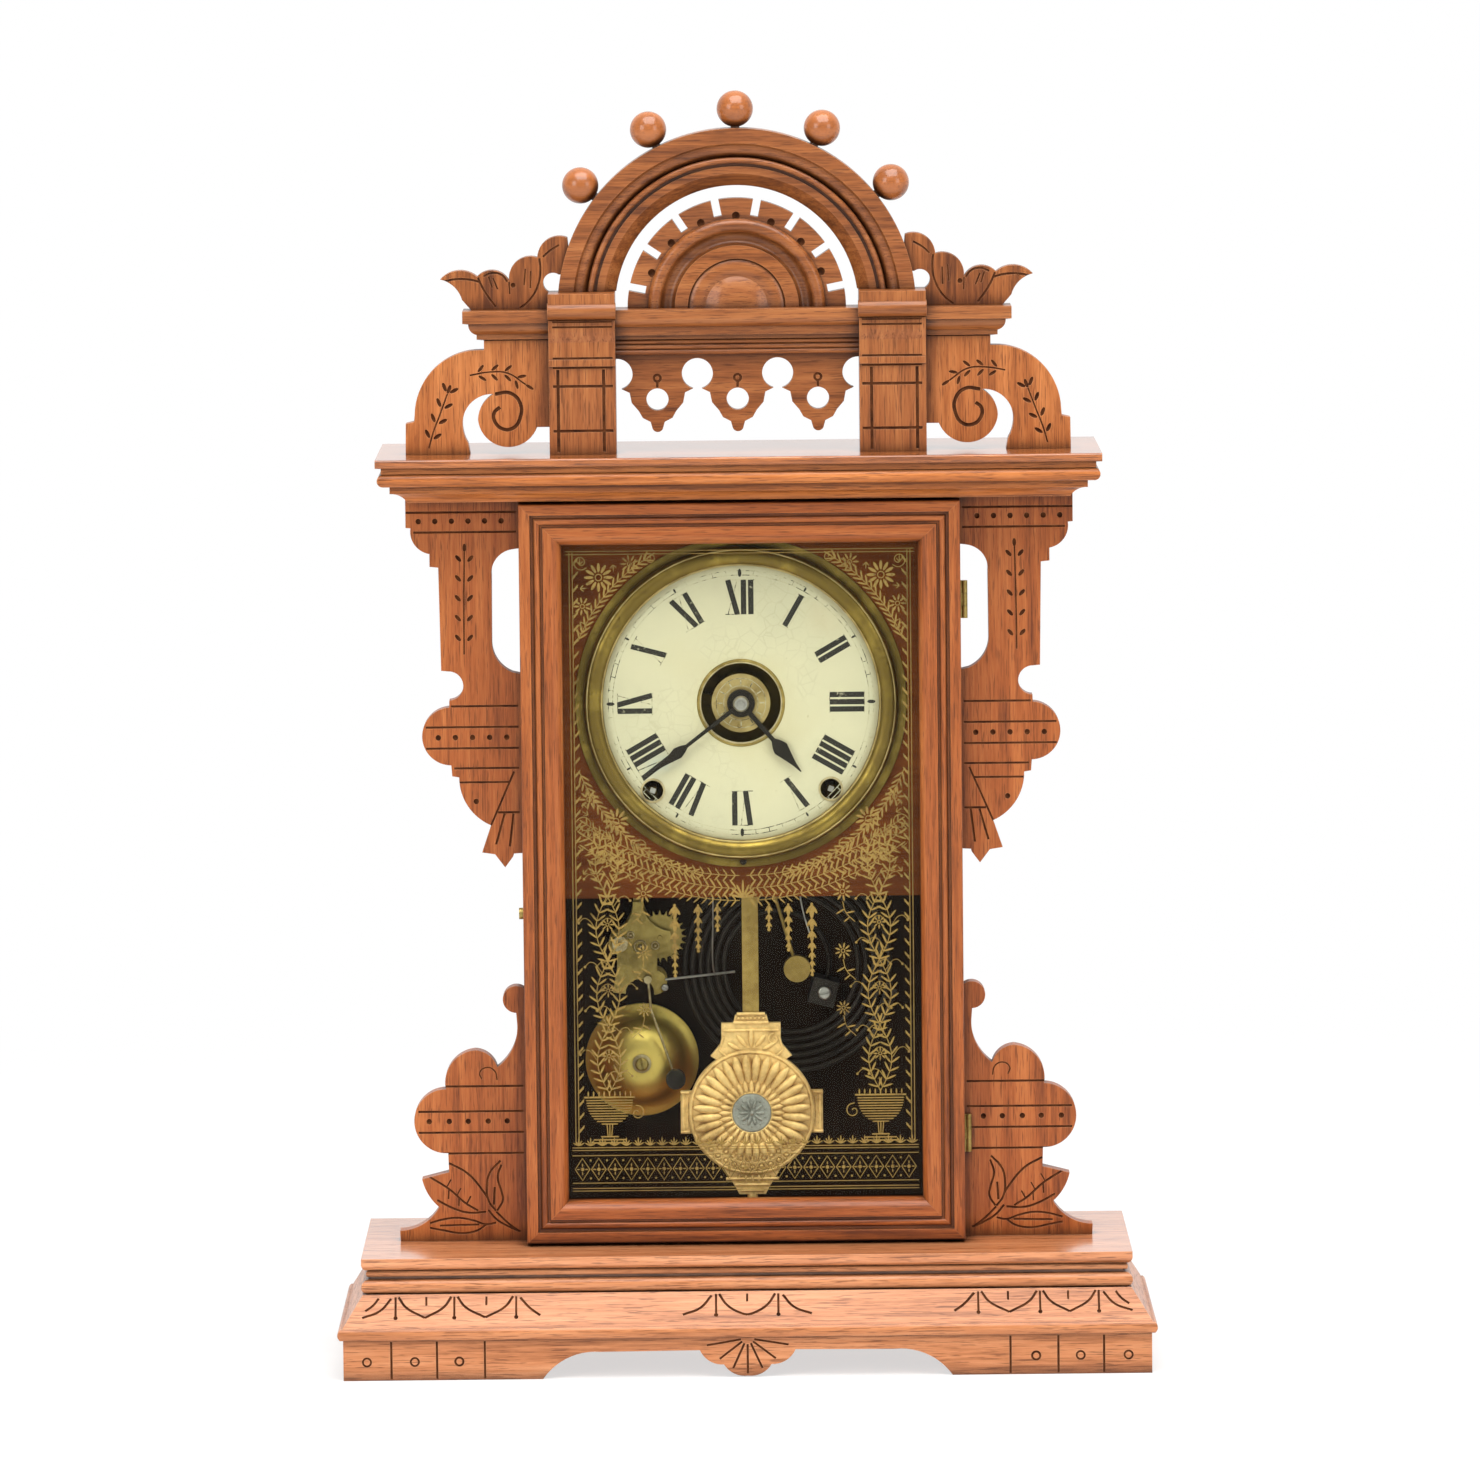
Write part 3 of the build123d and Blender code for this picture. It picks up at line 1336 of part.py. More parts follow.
def make_alarm():
    """Small alarm movement on the back board: two plates, toothed wheel, winder and hammer."""
    front = alarm_front_y
    front_back = front + alarm_plate_thickness
    rear_front = back_face_y - alarm_plate_thickness
    plate = outline(
        (-2.3, 19.6),
        (2.3, 19.6),
        ((6.4, 10.0), (14.6, 6.2)),
        ((13.6, -1.0), (8.7, -4.5)),
        (8.4, -12.0),
        ((12.9, -18.6), (7.0, -23.2)),
        ((-0.7, -16.0), (-6.0, -22.6)),
        (-11.7, -22.0),
        (-9.8, -12.0),
        (-9.8, -4.4),
        ((-13.4, 0.8), (-9.6, 5.6)),
        ((-4.4, 11.0), (-2.3, 19.6)),
    )
    place = Pos(alarm_x, 0, alarm_z)
    front_plate = board(plate, front, front_back)
    rear_plate = board(plate, rear_front, back_face_y)
    arbors = (
        (alarm_wheel_x, alarm_wheel_rise),
        (alarm_winder_x, alarm_winder_rise),
        (alarm_hammer_x, alarm_hammer_rise),
    )
    for x, z in arbors:
        hole = alarm_arbor_radius + running_fit
        front_plate = front_plate - rod(x, z, hole, front - 1, front_back + 1)
        rear_plate = rear_plate - rod(x, z, hole, rear_front - 1, back_face_y + 1)
    pillars = [rod(x, z, 1.4, front_back, rear_front) for x, z in ((0, 15.5), (-8.2, -18.8), (8.0, -19.5))]
    save("alarm_frame", *(place * piece for piece in (front_plate, rear_plate, *pillars)))
    wheel_front = front_back + 2.6
    teeth = saw_face(alarm_wheel_teeth, alarm_wheel_radius, alarm_wheel_radius - 2.2)
    hub = rod(0, 0, 2.4, wheel_front - 1.0, wheel_front + 3.4)
    wheel = board(teeth, wheel_front, wheel_front + 1.2) + hub
    wheel = wheel + rod(0, 0, alarm_arbor_radius, front - 0.6, back_face_y - moving_gap)
    save("alarm_wheel", place * Pos(alarm_wheel_x, 0, alarm_wheel_rise) * wheel)
    winder = rod(0, 0, alarm_winder_radius, front - 3.4, front - moving_gap) + rod(
        0, 0, alarm_arbor_radius, front - 4.6, back_face_y - moving_gap
    )
    save("alarm_winder", place * Pos(alarm_winder_x, 0, alarm_winder_rise) * winder)
    head_half = alarm_hammer_head_radius * 0.6
    end = (alarm_hammer_reach, -alarm_hammer_drop)
    knee = (alarm_hammer_reach * 0.1, -alarm_hammer_drop * 0.3)
    y = alarm_hammer_y
    hammer = rod(0, 0, alarm_arbor_radius, y - 1.0, back_face_y - moving_gap)
    hammer = hammer + rod(0, 0, 1.8, y - 1.4, y + 1.4)
    hammer = hammer + bar((0, y, 0), (knee[0], y, knee[1]), alarm_hammer_wire_radius)
    hammer = hammer + Pos(knee[0], y, knee[1]) * Sphere(alarm_hammer_wire_radius)
    hammer = hammer + bar((knee[0], y, knee[1]), (end[0], y, end[1]), alarm_hammer_wire_radius)
    hammer = hammer + rod(end[0], end[1], alarm_hammer_head_radius, y - 2 * head_half + 1.0, y + 1.0)
    save("alarm_hammer", place * Pos(alarm_hammer_x, 0, alarm_hammer_rise) * hammer)


def make_bell():
    """Spun brass bell with a flared rim, on a post from the back board."""
    front = bell_front_y
    wall = bell_wall
    rim = front + bell_depth
    shoulder = bell_radius - 6.6
    hole = bell_post_radius * 0.55
    section = outline(
        (hole + press_gap, front + wall),
        (hole + press_gap, front),
        (bell_flat_radius, front),
        ((shoulder - 4.0, front + 3.6), (shoulder, front + 9.0)),
        ((shoulder + 2.0, rim - 3.6), (bell_radius, rim - wall)),
        (bell_radius, rim),
        ((shoulder + 1.0, rim - 2.8), (shoulder - wall, front + 9.4)),
        ((shoulder - 4.8, front + 4.6), (bell_flat_radius, front + wall)),
    )
    save("alarm_bell", turned(section, bell_x, bell_z))
    post = rod(bell_x, bell_z, bell_post_radius, front + wall, back_face_y)
    neck = rod(bell_x, bell_z, hole, front - 0.5, front + wall + 1)
    head = turned(
        outline((0, front), (bell_screw_radius, front), (bell_screw_radius, front - 0.8), (0, front - 2.0)),
        bell_x,
        bell_z,
    )
    save("bell_post", post + neck + head)


LOW = (Align.CENTER, Align.CENTER, Align.MIN)

os.makedirs("parts", exist_ok=True)
make_plinth()
make_base()
make_case()
make_cornice()
make_wings()
make_posts()
make_scrolls()
make_rails()
make_fret()
make_flowers()
make_arch()
make_rosette()
make_door()
make_hinges()
make_dial()
make_motion_work(*make_hands())
make_movement()
make_escapement()
make_pendulum()
make_gong()
make_strike_hammer()
make_alarm()
make_bell()
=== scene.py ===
"""Walnut parlour mantel clock: carving, dial print, gilt tablet, finishes, light and camera.

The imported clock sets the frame, in metres. Sizes in this script are millimetres and pass through MM.
"""

import math

import bmesh
import bpy
from mathutils import Matrix, Vector


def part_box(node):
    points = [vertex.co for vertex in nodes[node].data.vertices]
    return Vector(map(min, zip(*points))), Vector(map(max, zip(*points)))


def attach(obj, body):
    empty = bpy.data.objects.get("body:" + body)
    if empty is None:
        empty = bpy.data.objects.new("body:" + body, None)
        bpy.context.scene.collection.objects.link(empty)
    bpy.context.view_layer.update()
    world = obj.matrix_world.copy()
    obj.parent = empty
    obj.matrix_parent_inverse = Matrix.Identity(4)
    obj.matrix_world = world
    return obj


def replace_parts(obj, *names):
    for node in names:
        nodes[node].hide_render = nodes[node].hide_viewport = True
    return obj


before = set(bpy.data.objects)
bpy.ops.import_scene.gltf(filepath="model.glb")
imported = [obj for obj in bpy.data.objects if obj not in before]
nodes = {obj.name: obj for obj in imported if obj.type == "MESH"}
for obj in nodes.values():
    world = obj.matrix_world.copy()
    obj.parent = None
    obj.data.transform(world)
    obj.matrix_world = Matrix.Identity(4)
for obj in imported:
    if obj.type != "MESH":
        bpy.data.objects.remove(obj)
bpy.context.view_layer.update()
scene = bpy.context.scene

MM = 0.001

# Corners below this angle are shaded smooth, faces turned forward beyond this share are shaded flat,
# and points closer than this are one
SMOOTH_BELOW = math.radians(32)
FLAT_FACE = 0.9995
WELD = 0.0005 * MM

# Height of the alarm hammer's black head, and how deep the stain of the lining goes into the back board
HAMMER_HEAD = 9.0
BACK_STAIN = 0.5

# Signs of X on which a stroke is drawn
ONE_SIDE = (1,)
BOTH_SIDES = (1, -1)


def front_y(node):
    """Y of the front of a node's box, in millimetres."""
    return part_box(node)[0].y / MM


def middle_of(node):
    """X and Z of the middle of a node's box, in millimetres."""
    low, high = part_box(node)
    return (low.x + high.x) / 2 / MM, (low.z + high.z) / 2 / MM


def half_width_of(node):
    """Half the width of a node's box, in millimetres."""
    low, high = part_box(node)
    return (high.x - low.x) / 2 / MM


# Places taken from the frame, in millimetres
dial_z = middle_of("dial_pan")[1]
dial_face_y = front_y("dial_pan")
dial_radius = half_width_of("dial_pan")
bob_x, bob_z = middle_of("bob_medallion")
bell_x, bell_z = middle_of("alarm_bell")
hammer_head_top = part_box("alarm_hammer")[0].z / MM + HAMMER_HEAD
back_stain_y = front_y("case_back_board") + BACK_STAIN
wing_y = front_y("upper_wing_left")
moulding_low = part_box("base_moulding")[0]
rail_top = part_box("crest_rosette")[0].z / MM


class Sock:
    """An output socket that adds Math nodes when it is used in arithmetic."""

    def __init__(self, shade, socket):
        self.shade = shade
        self.socket = socket

    def math(self, operation, *others):
        inputs = dict(enumerate((self, *others)))
        return self.shade.node("Math", {"operation": operation}, inputs)

    def __add__(self, other):
        return self.math("ADD", other)

    def __sub__(self, other):
        return self.math("SUBTRACT", other)

    def __mul__(self, other):
        return self.math("MULTIPLY", other)

    def __truediv__(self, other):
        return self.math("DIVIDE", other)

    def __rsub__(self, other):
        return self * -1.0 + other

    __radd__ = __add__
    __rmul__ = __mul__

    def wave(self):
        return self.math("SINE")

    def step(self, edge, width):
        """0 below the edge, 1 above it, with a soft change of the given width."""
        inputs = {0: self, 1: edge - width / 2, 2: edge + width / 2}
        return self.shade.node("MapRange", {"interpolation_type": "SMOOTHSTEP"}, inputs)


class Shade:
    """A node material, built by one method that adds any node."""

    def __init__(self, name, world=None):
        self.material = world or bpy.data.materials.new(name)
        self.material.use_nodes = True
        self.tree = self.material.node_tree
        self.tree.nodes.clear()
        kind = "ShaderNodeOutputWorld" if world else "ShaderNodeOutputMaterial"
        self.output = self.tree.nodes.new(kind)

    def feed(self, socket, value):
        if isinstance(value, Sock):
            self.tree.links.new(value.socket, socket)
        elif isinstance(value, tuple) and len(value) == 3 and socket.type == "RGBA":
            socket.default_value = (*value, 1.0)
        else:
            socket.default_value = value

    def node(self, kind, settings=None, inputs=None, out=0):
        made = self.tree.nodes.new("ShaderNode" + kind)
        for key, value in (settings or {}).items():
            if key == "stops":
                self.set_stops(made.color_ramp, value)
            else:
                setattr(made, key, value)
        for key, value in (inputs or {}).items():
            self.feed(made.inputs[key], value)
        return Sock(self, made.outputs[out])

    def set_stops(self, ramp, stops):
        while len(ramp.elements) < len(stops):
            ramp.elements.new(0.5)
        for element, (position, colour) in zip(ramp.elements, stops):
            element.position = position
            element.color = (*colour, 1.0)

    def place(self, scale=(1, 1, 1), shift=(0, 0, 0)):
        coords = self.node("TexCoord", out="Object")
        inputs = {"Vector": coords, "Location": shift, "Scale": scale}
        return self.node("Mapping", {"vector_type": "POINT"}, inputs)

    def along_grain(self, grain, shift):
        """Places stretched along the grain; a mitred moulding's grain turns with its returned ends."""
        if grain != "mitred":
            return self.place(GRAIN[grain], shift)
        facing = self.node("NewGeometry", out="True Normal")
        sideways = self.node("SeparateXYZ", None, {0: facing}, "X").math("ABSOLUTE").step(0.5, 0.02)
        inputs = {0: sideways, 4: self.place(GRAIN["X"], shift), 5: self.place(GRAIN["Y"], shift)}
        return self.node("Mix", {"data_type": "VECTOR"}, inputs, 1)

    def noise(self, vector, scale, detail=2.0, rough=0.5):
        inputs = {"Vector": vector, "Scale": scale, "Detail": detail, "Roughness": rough}
        return self.node("TexNoise", None, inputs)

    def ramp(self, factor, *stops):
        return self.node("ValToRGB", {"stops": stops}, {0: factor})

    def mix(self, factor, first, second, blend="MIX"):
        settings = {"data_type": "RGBA", "blend_type": blend, "clamp_factor": True}
        return self.node("Mix", settings, {0: factor, 6: first, 7: second}, 2)

    def open_space(self, distance):
        """1 on open faces, falling towards 0 in corners and grooves narrower than the distance."""
        return self.node("AmbientOcclusion", {"samples": 6}, {"Distance": distance}, "AO")

    def bump(self, height, distance, strength=1.0, radius=0.0):
        inputs = {"Height": height, "Distance": distance, "Strength": strength}
        if radius:
            inputs["Normal"] = self.node("Bevel", {"samples": 4}, {"Radius": radius})
        return self.node("Bump", None, inputs)

    def radius_about(self, x, z):
        """Distance from an axis along Y, in metres."""
        flat = self.place((1, 0, 1), (-x * MM, 0, -z * MM))
        return self.node("VectorMath", {"operation": "LENGTH"}, {0: flat}, "Value")

    def edge_wear_and_highlight(self, radius):
        """1 along the outer edges of a piece, 0 on its faces and in its corners."""
        rounded = self.node("Bevel", {"samples": 4}, {"Radius": radius})
        flat = self.node("NewGeometry", out="Normal")
        along = self.node("VectorMath", {"operation": "DOT_PRODUCT"}, {0: rounded, 1: flat}, "Value")
        return (1.0 - along).step(0.07, 0.12)

    def blend(self, factor, first, second):
        return self.node("MixShader", None, {0: factor, 1: first, 2: second})

    def show(self, shader):
        self.tree.links.new(shader.socket, self.output.inputs["Surface"])
        return self.material

    def surface(self, colour, rough, normal=None, others=None):
        """The finished material; others holds values of the shader's less common sockets."""
        inputs = {"Base Color": colour, "Roughness": rough, **(others or {})}
        if normal is not None:
            inputs["Normal"] = normal
        return self.show(self.node("BsdfPrincipled", None, inputs))


# How far a pattern is stretched along the grain, by the grain's direction
GRAIN = {"X": (0.045, 1.0, 1.0), "Y": (1.0, 0.045, 1.0), "Z": (1.0, 1.0, 0.045)}

# Colours of the wood, from its dark grain to its light grain, then its worn edges, which also stand as
# painted highlights
BROWN_WALNUT = ((0.118, 0.027, 0.006), (0.322, 0.083, 0.0165), (0.465, 0.146, 0.037), (0.55, 0.21, 0.075))
CREST_WALNUT = ((0.096, 0.026, 0.0066), (0.272, 0.082, 0.0185), (0.405, 0.145, 0.041), (0.54, 0.23, 0.09))
# Paler wood for the base: partly its own tone, partly painted light for the light that falls on its lower
# front
PALE_WALNUT_WITH_PAINTED_LIGHT = ((0.235, 0.073, 0.021), (0.500, 0.187, 0.071), (0.630, 0.280, 0.128), (0.70, 0.36, 0.20))


def walnut(name, grain, shift, lift=1.0, palette=BROWN_WALNUT, gloss=0.2, bold=1.0):
    """Oiled walnut: broad figure, growth rings, fibres, dark pores, worn edges lightened also as painted
    highlights, and dirt with painted shade darkening the corners.
    """
    shade = Shade(name)
    dark, middle, light, worn = [tuple(lift * part for part in colour) for colour in palette]
    place = shade.along_grain(grain, shift)
    figure = shade.noise(place, 16, 3, 0.55)
    rings = (figure * 95 + shade.noise(place, 160, 2) * 2.4).wave()
    fibre = shade.noise(place, 820, 4, 0.7)
    streak = shade.noise(place, 210, 3, 0.6)
    pores = shade.noise(place, 1700, 2, 0.6).step(0.60, 0.10) * bold
    fine = (fibre - 0.5) * (0.85 * bold) + (streak - 0.5) * (0.8 * bold)
    tone = 0.5 + (figure - 0.5) * 0.7 + rings * 0.06 + fine
    colour = shade.ramp(tone, (0.18, dark), (0.48, middle), (0.82, light))
    colour = shade.mix(pores * 0.6, colour, (0.075, 0.018, 0.004))
    open_space = shade.open_space(8.0 * MM)
    patches = shade.noise(shade.place(), 60, 3, 0.6)
    # Painted highlight: the outer edges are lightened, wear and the highlight along them together
    wear = shade.edge_wear_and_highlight(0.6 * MM) * open_space * (0.25 + patches * 0.5)
    colour = shade.mix(wear, colour, worn)
    # Painted shade: the colour darkens where the occlusion finds corners and grooves, dirt and shade
    # together
    dirt_and_shade = (1.0 - open_space).step(0.34, 0.56)
    colour = shade.mix(dirt_and_shade * (0.55 + patches * 0.6), colour, (0.036, 0.010, 0.003))
    rough = 0.30 + fibre * 0.12 + patches * 0.12 + pores * 0.12
    normal = shade.bump(fibre - pores * 0.9, 0.05 * MM, 0.35, 0.45 * MM)
    coat = {"Coat Weight": gloss, "Coat Roughness": 0.14, "Specular IOR Level": 0.26}
    return shade.surface(colour, rough, normal, coat)


def stained_and_shaded_cut(name):
    """Cut faces of the carving, dark with rubbed stain and with painted shade in the grooves."""
    shade = Shade(name)
    worn = shade.noise(shade.place(), 240, 3, 0.6)
    colour = shade.ramp(worn, (0.3, (0.040, 0.012, 0.004)), (0.72, (0.130, 0.042, 0.013)))
    return shade.surface(colour, 0.6 + worn * 0.2, None, {"Specular IOR Level": 0.12})


def dark_board(name, grain, light, dark, stained_to=None):
    """Plain stained boards inside the case; behind a depth, the wood is bare."""
    shade = Shade(name)
    place = shade.place(GRAIN[grain], (0.3, 0.1, 0.2))
    fibre = shade.noise(place, 520, 4, 0.65)
    figure = shade.noise(place, 30, 3, 0.5)
    tone = fibre * 0.6 + figure * 0.4
    colour = shade.ramp(tone, (0.3, dark), (0.7, light))
    if stained_to is not None:
        depth = shade.node("SeparateXYZ", None, {0: shade.place()}, "Y")
        bare = shade.ramp(tone, (0.3, (0.13, 0.056, 0.021)), (0.7, (0.27, 0.128, 0.052)))
        colour = shade.mix(depth.step(stained_to * MM, 0.2 * MM), colour, bare)
    normal = shade.bump(fibre, 0.02 * MM, 0.1)
    return shade.surface(colour, 0.58 + fibre * 0.2, normal, {"Specular IOR Level": 0.1})


def turned_brass(name, centre, bright, tarnish, spread, rough):
    """Spun or turned brass: fine rings about its axis, brown tarnish in patches and corners."""
    shade = Shade(name)
    radius = shade.radius_about(*centre)
    place = shade.place()
    rings = shade.noise(shade.node("CombineXYZ", None, {0: radius}), 3200, 3, 0.7)
    patches = shade.noise(place, 55, 4, 0.62)
    specks = shade.noise(place, 480, 3, 0.6)
    corners = 1.0 - shade.open_space(2.5 * MM)
    dull = patches.step(spread, 0.34) * 0.75 + corners * 0.8 + specks.step(0.66, 0.1) * 0.3
    colour = shade.mix(dull, bright, tarnish)
    normal = shade.bump(rings, 0.03 * MM, 0.35, 0.3 * MM)
    polish = rough + rings * 0.1 + dull * 0.2
    return shade.surface(colour, polish, normal, {"Metallic": 1.0 - dull * 0.3})


def cast_metal(name, light, dark, rough, metallic, grain=300):
    """Stamped or cast metal with fine pitting and dull patches."""
    shade = Shade(name)
    place = shade.place()
    pits = shade.noise(place, grain, 4, 0.65)
    patches = shade.noise(place, 70, 3, 0.55)
    corners = 1.0 - shade.open_space(1.6 * MM)
    dull = patches.step(0.55, 0.3) * 0.45 + (1.0 - pits).step(0.5, 0.3) * 0.3 + corners * 0.7
    colour = shade.mix(dull, light, dark)
    normal = shade.bump(pits, 0.06 * MM, 0.4, 0.15 * MM)
    return shade.surface(colour, rough + pits * 0.14 + dull * 0.12, normal, {"Metallic": metallic})


def hammer_wire(name, head_top):
    """Pale brass wire that ends in a blackened head, below a level."""
    shade = Shade(name)
    place = shade.place()
    pits = shade.noise(place, 300, 4, 0.65)
    height = shade.node("SeparateXYZ", None, {0: place}, "Z")
    wire = height.step(head_top * MM, 0.5 * MM)
    pitted = pits.step(0.5, 0.3)
    brass = shade.mix(pitted, (0.62, 0.52, 0.30), (0.34, 0.26, 0.12))
    black = shade.mix(pitted, (0.030, 0.025, 0.020), (0.012, 0.010, 0.008))
    colour = shade.mix(wire, black, brass)
    normal = shade.bump(pits, 0.04 * MM, 0.3)
    return shade.surface(colour, 0.34 + pits * 0.14, normal, {"Metallic": 0.5 + wire * 0.2})


def dial_paint(name):
    """Cream enamel on the dial pan, yellowed in the middle, with stains and fine crazing."""
    shade = Shade(name)
    place = shade.place()
    radius = shade.radius_about(0, dial_z) / (dial_radius * MM)
    clouds = shade.noise(place, 26, 4, 0.6)
    fine = shade.noise(place, 420, 4, 0.6)
    colour = shade.ramp(
        clouds * 0.55 + radius * 0.45,
        (0.28, (0.655, 0.605, 0.39)),
        (0.52, (0.69, 0.66, 0.47)),
        (0.80, (0.60, 0.585, 0.425)),
    )
    craze = shade.node(
        "TexVoronoi", {"feature": "DISTANCE_TO_EDGE"}, {"Vector": place, "Scale": 190.0}, "Distance"
    )
    cracks = 1.0 - craze.step(0.035, 0.04)
    colour = shade.mix(cracks * clouds.step(0.55, 0.2) * 0.16, colour, (0.30, 0.25, 0.12))
    for x, z, size, tint, weight in (
        (-36.0, dial_z - 31.0, 11.0, (0.45, 0.55, 0.52), 0.75),
        (-36.0, dial_z - 40.0, 9.0, (0.34, 0.25, 0.12), 0.6),
        (44.0, dial_z - 40.0, 9.0, (0.34, 0.25, 0.12), 0.5),
        (40.0, dial_z + 40.0, 14.0, (0.60, 0.52, 0.34), 0.5),
    ):
        near = 1.0 - shade.radius_about(x, z).step(size * 0.6 * MM, size * MM)
        colour = shade.mix(near * clouds.step(0.46, 0.2) * weight, colour, tint)
    edge = radius.step(0.93, 0.08)
    colour = shade.mix(edge * (0.2 + fine * 0.5), colour, (0.33, 0.27, 0.13))
    colour = shade.mix(fine.step(0.68, 0.06) * 0.35, colour, (0.36, 0.30, 0.17))
    normal = shade.bump(clouds + cracks * -0.3, 0.05 * MM, 0.25)
    return shade.surface(colour, 0.34 + fine * 0.15, normal, {"Coat Weight": 0.12})


def dial_ink(name, wear):
    """Black printing, rubbed through to the cream paint where it is worn."""
    shade = Shade(name)
    place = shade.place()
    rubbed = shade.noise(place, 330, 4, 0.7) * 0.6 + shade.noise(place, 60, 2) * 0.4
    colour = shade.mix(rubbed.step(wear, 0.12), (0.018, 0.016, 0.012), (0.60, 0.57, 0.40))
    return shade.surface(colour, 0.45 + rubbed * 0.2)


def gilt_paint(name):
    """Dull gold leaf on the back of the glass, thin in places."""
    shade = Shade(name)
    place = shade.place()
    thin = shade.noise(place, 420, 4, 0.7)
    patches = shade.noise(place, 40, 3, 0.6)
    worn = thin.step(0.60, 0.22) * 0.6 + patches.step(0.58, 0.25) * 0.45
    colour = shade.mix(worn, (0.44, 0.28, 0.075), (0.12, 0.065, 0.02))
    return shade.surface(colour, 0.46 + thin * 0.2, None, {"Metallic": 0.45})


def old_glass(name):
    """Thin clear glass: it lets the light through, keeps a reflection and holds a little dust."""
    shade = Shade(name)
    place = shade.place()
    ripple = shade.noise(place, 14, 2, 0.5)
    dust = shade.noise(place, 24, 3, 0.6)
    clear = shade.node("BsdfTransparent", None, {"Color": (0.95, 0.955, 0.92)})
    film = shade.node("BsdfDiffuse", None, {"Color": (0.42, 0.36, 0.26)})
    shine = shade.node("BsdfGlossy", None, {
        "Roughness": 0.03,
        "Normal": shade.bump(ripple, 0.25 * MM, 0.2),
    })
    edge = shade.node("Fresnel", None, {"IOR": 1.45})
    dusty = shade.blend(dust.step(0.55, 0.4) * 0.006, clear, film)
    return shade.show(shade.blend(edge * 0.12, dusty, shine))


# Finishes
walnut_cornice = walnut("walnut_cornice", "mitred", (0.31, 0.12, 0.05), 1.56, CREST_WALNUT)
walnut_fret = walnut("walnut_fret", "X", (0.57, 0.26, 0.45), 0.95, CREST_WALNUT)
walnut_flower = walnut("walnut_flower", "Z", (0.28, 0.47, 0.66), 1.0, CREST_WALNUT)
walnut_tall = walnut("walnut_upright", "Z", (0.07, 0.23, 0.44))
walnut_base = walnut("walnut_base", "mitred", (0.44, 0.28, 0.15), 1.0, PALE_WALNUT_WITH_PAINTED_LIGHT, 0.3)
# The shelf is lifted further still, a painted highlight on its bright top
walnut_shelf = walnut("walnut_shelf", "X", (0.64, 0.48, 0.35), 1.12, PALE_WALNUT_WITH_PAINTED_LIGHT, 1.0)
walnut_cap = walnut("walnut_cornice_board", "X", (0.24, 0.18, 0.55), 1.36, CREST_WALNUT, 1.0)
walnut_ball = walnut("walnut_ball", "X", (0.14, 0.58, 0.25), 1.36, CREST_WALNUT, 0.7, 0.3)
walnut_crest = walnut("walnut_crest", "X", (0.74, 0.33, 0.19), 0.94, CREST_WALNUT, 0.35)
walnut_scroll = walnut("walnut_scroll", "Z", (0.39, 0.61, 0.27), 1.33, CREST_WALNUT)
walnut_deep = walnut("walnut_front_to_back", "Y", (0.17, 0.05, 0.29), 1.0, PALE_WALNUT_WITH_PAINTED_LIGHT, 0.3)
walnut_door = walnut("walnut_door_stile", "Z", (0.53, 0.71, 0.12), 0.96)
walnut_rail = walnut("walnut_door_rail", "X", (0.83, 0.37, 0.61), 0.97)
walnut_post = walnut("walnut_post", "Z", (0.91, 0.15, 0.33), 1.04, CREST_WALNUT, 0.3)
# The carving's cut faces: dark stain and painted shade together
stain = stained_and_shaded_cut("carving_stain_and_shade")
board_red = dark_board("dial_board_wood", "X", (0.245, 0.068, 0.016), (0.102, 0.026, 0.006))
board_black = dark_board("case_lining", "Z", (0.024, 0.0105, 0.005), (0.010, 0.0045, 0.002), back_stain_y)
bezel_brass = turned_brass("bezel_brass", (0, dial_z), (0.46, 0.33, 0.075), (0.13, 0.082, 0.016), 0.42, 0.24)
bell_brass = turned_brass("bell_brass", (bell_x, bell_z), (0.98, 0.78, 0.22), (0.64, 0.47, 0.12), 0.68, 0.40)
plate_brass = cast_metal("plate_brass", (0.52, 0.40, 0.13), (0.16, 0.11, 0.032), 0.34, 0.9)
# Dark brass for the movement behind the dial: tarnish and painted shade together, darker than the brass
# itself
tarnished_and_shaded_movement_brass = cast_metal("tarnished_and_shaded_movement_brass", (0.20, 0.14, 0.045), (0.05, 0.032, 0.011), 0.42, 0.9)
disc_brass = turned_brass("disc_brass", (0, dial_z), (0.66, 0.52, 0.23), (0.27, 0.19, 0.065), 0.50, 0.36)
pale_brass = cast_metal("pale_brass", (0.72, 0.62, 0.38), (0.33, 0.25, 0.11), 0.34, 0.7)
rod_brass = cast_metal("rod_brass", (0.52, 0.37, 0.11), (0.24, 0.15, 0.04), 0.38, 0.7)
gilt = cast_metal("pressed_gilt", (1.0, 0.72, 0.31), (0.40, 0.22, 0.060), 0.42, 0.38)
hammer_finish = hammer_wire("alarm_hammer_wire", hammer_head_top)
silver = cast_metal("dull_silver", (0.50, 0.52, 0.49), (0.18, 0.19, 0.17), 0.42, 0.7, 700)
bright_steel = cast_metal("bright_steel", (0.62, 0.62, 0.60), (0.26, 0.25, 0.23), 0.28, 0.95)
black_steel = cast_metal("blackened_steel", (0.030, 0.025, 0.020), (0.012, 0.010, 0.008), 0.36, 0.55)
gong_iron = cast_metal("gong_iron", (0.050, 0.042, 0.036), (0.016, 0.012, 0.010), 0.34, 0.7)
enamel = dial_paint("dial_enamel")
ink = dial_ink("dial_ink", 0.62)
faint_ink = dial_ink("faint_dial_ink", 0.47)
gold_leaf = gilt_paint("tablet_gold")
glass = old_glass("tablet_glass")

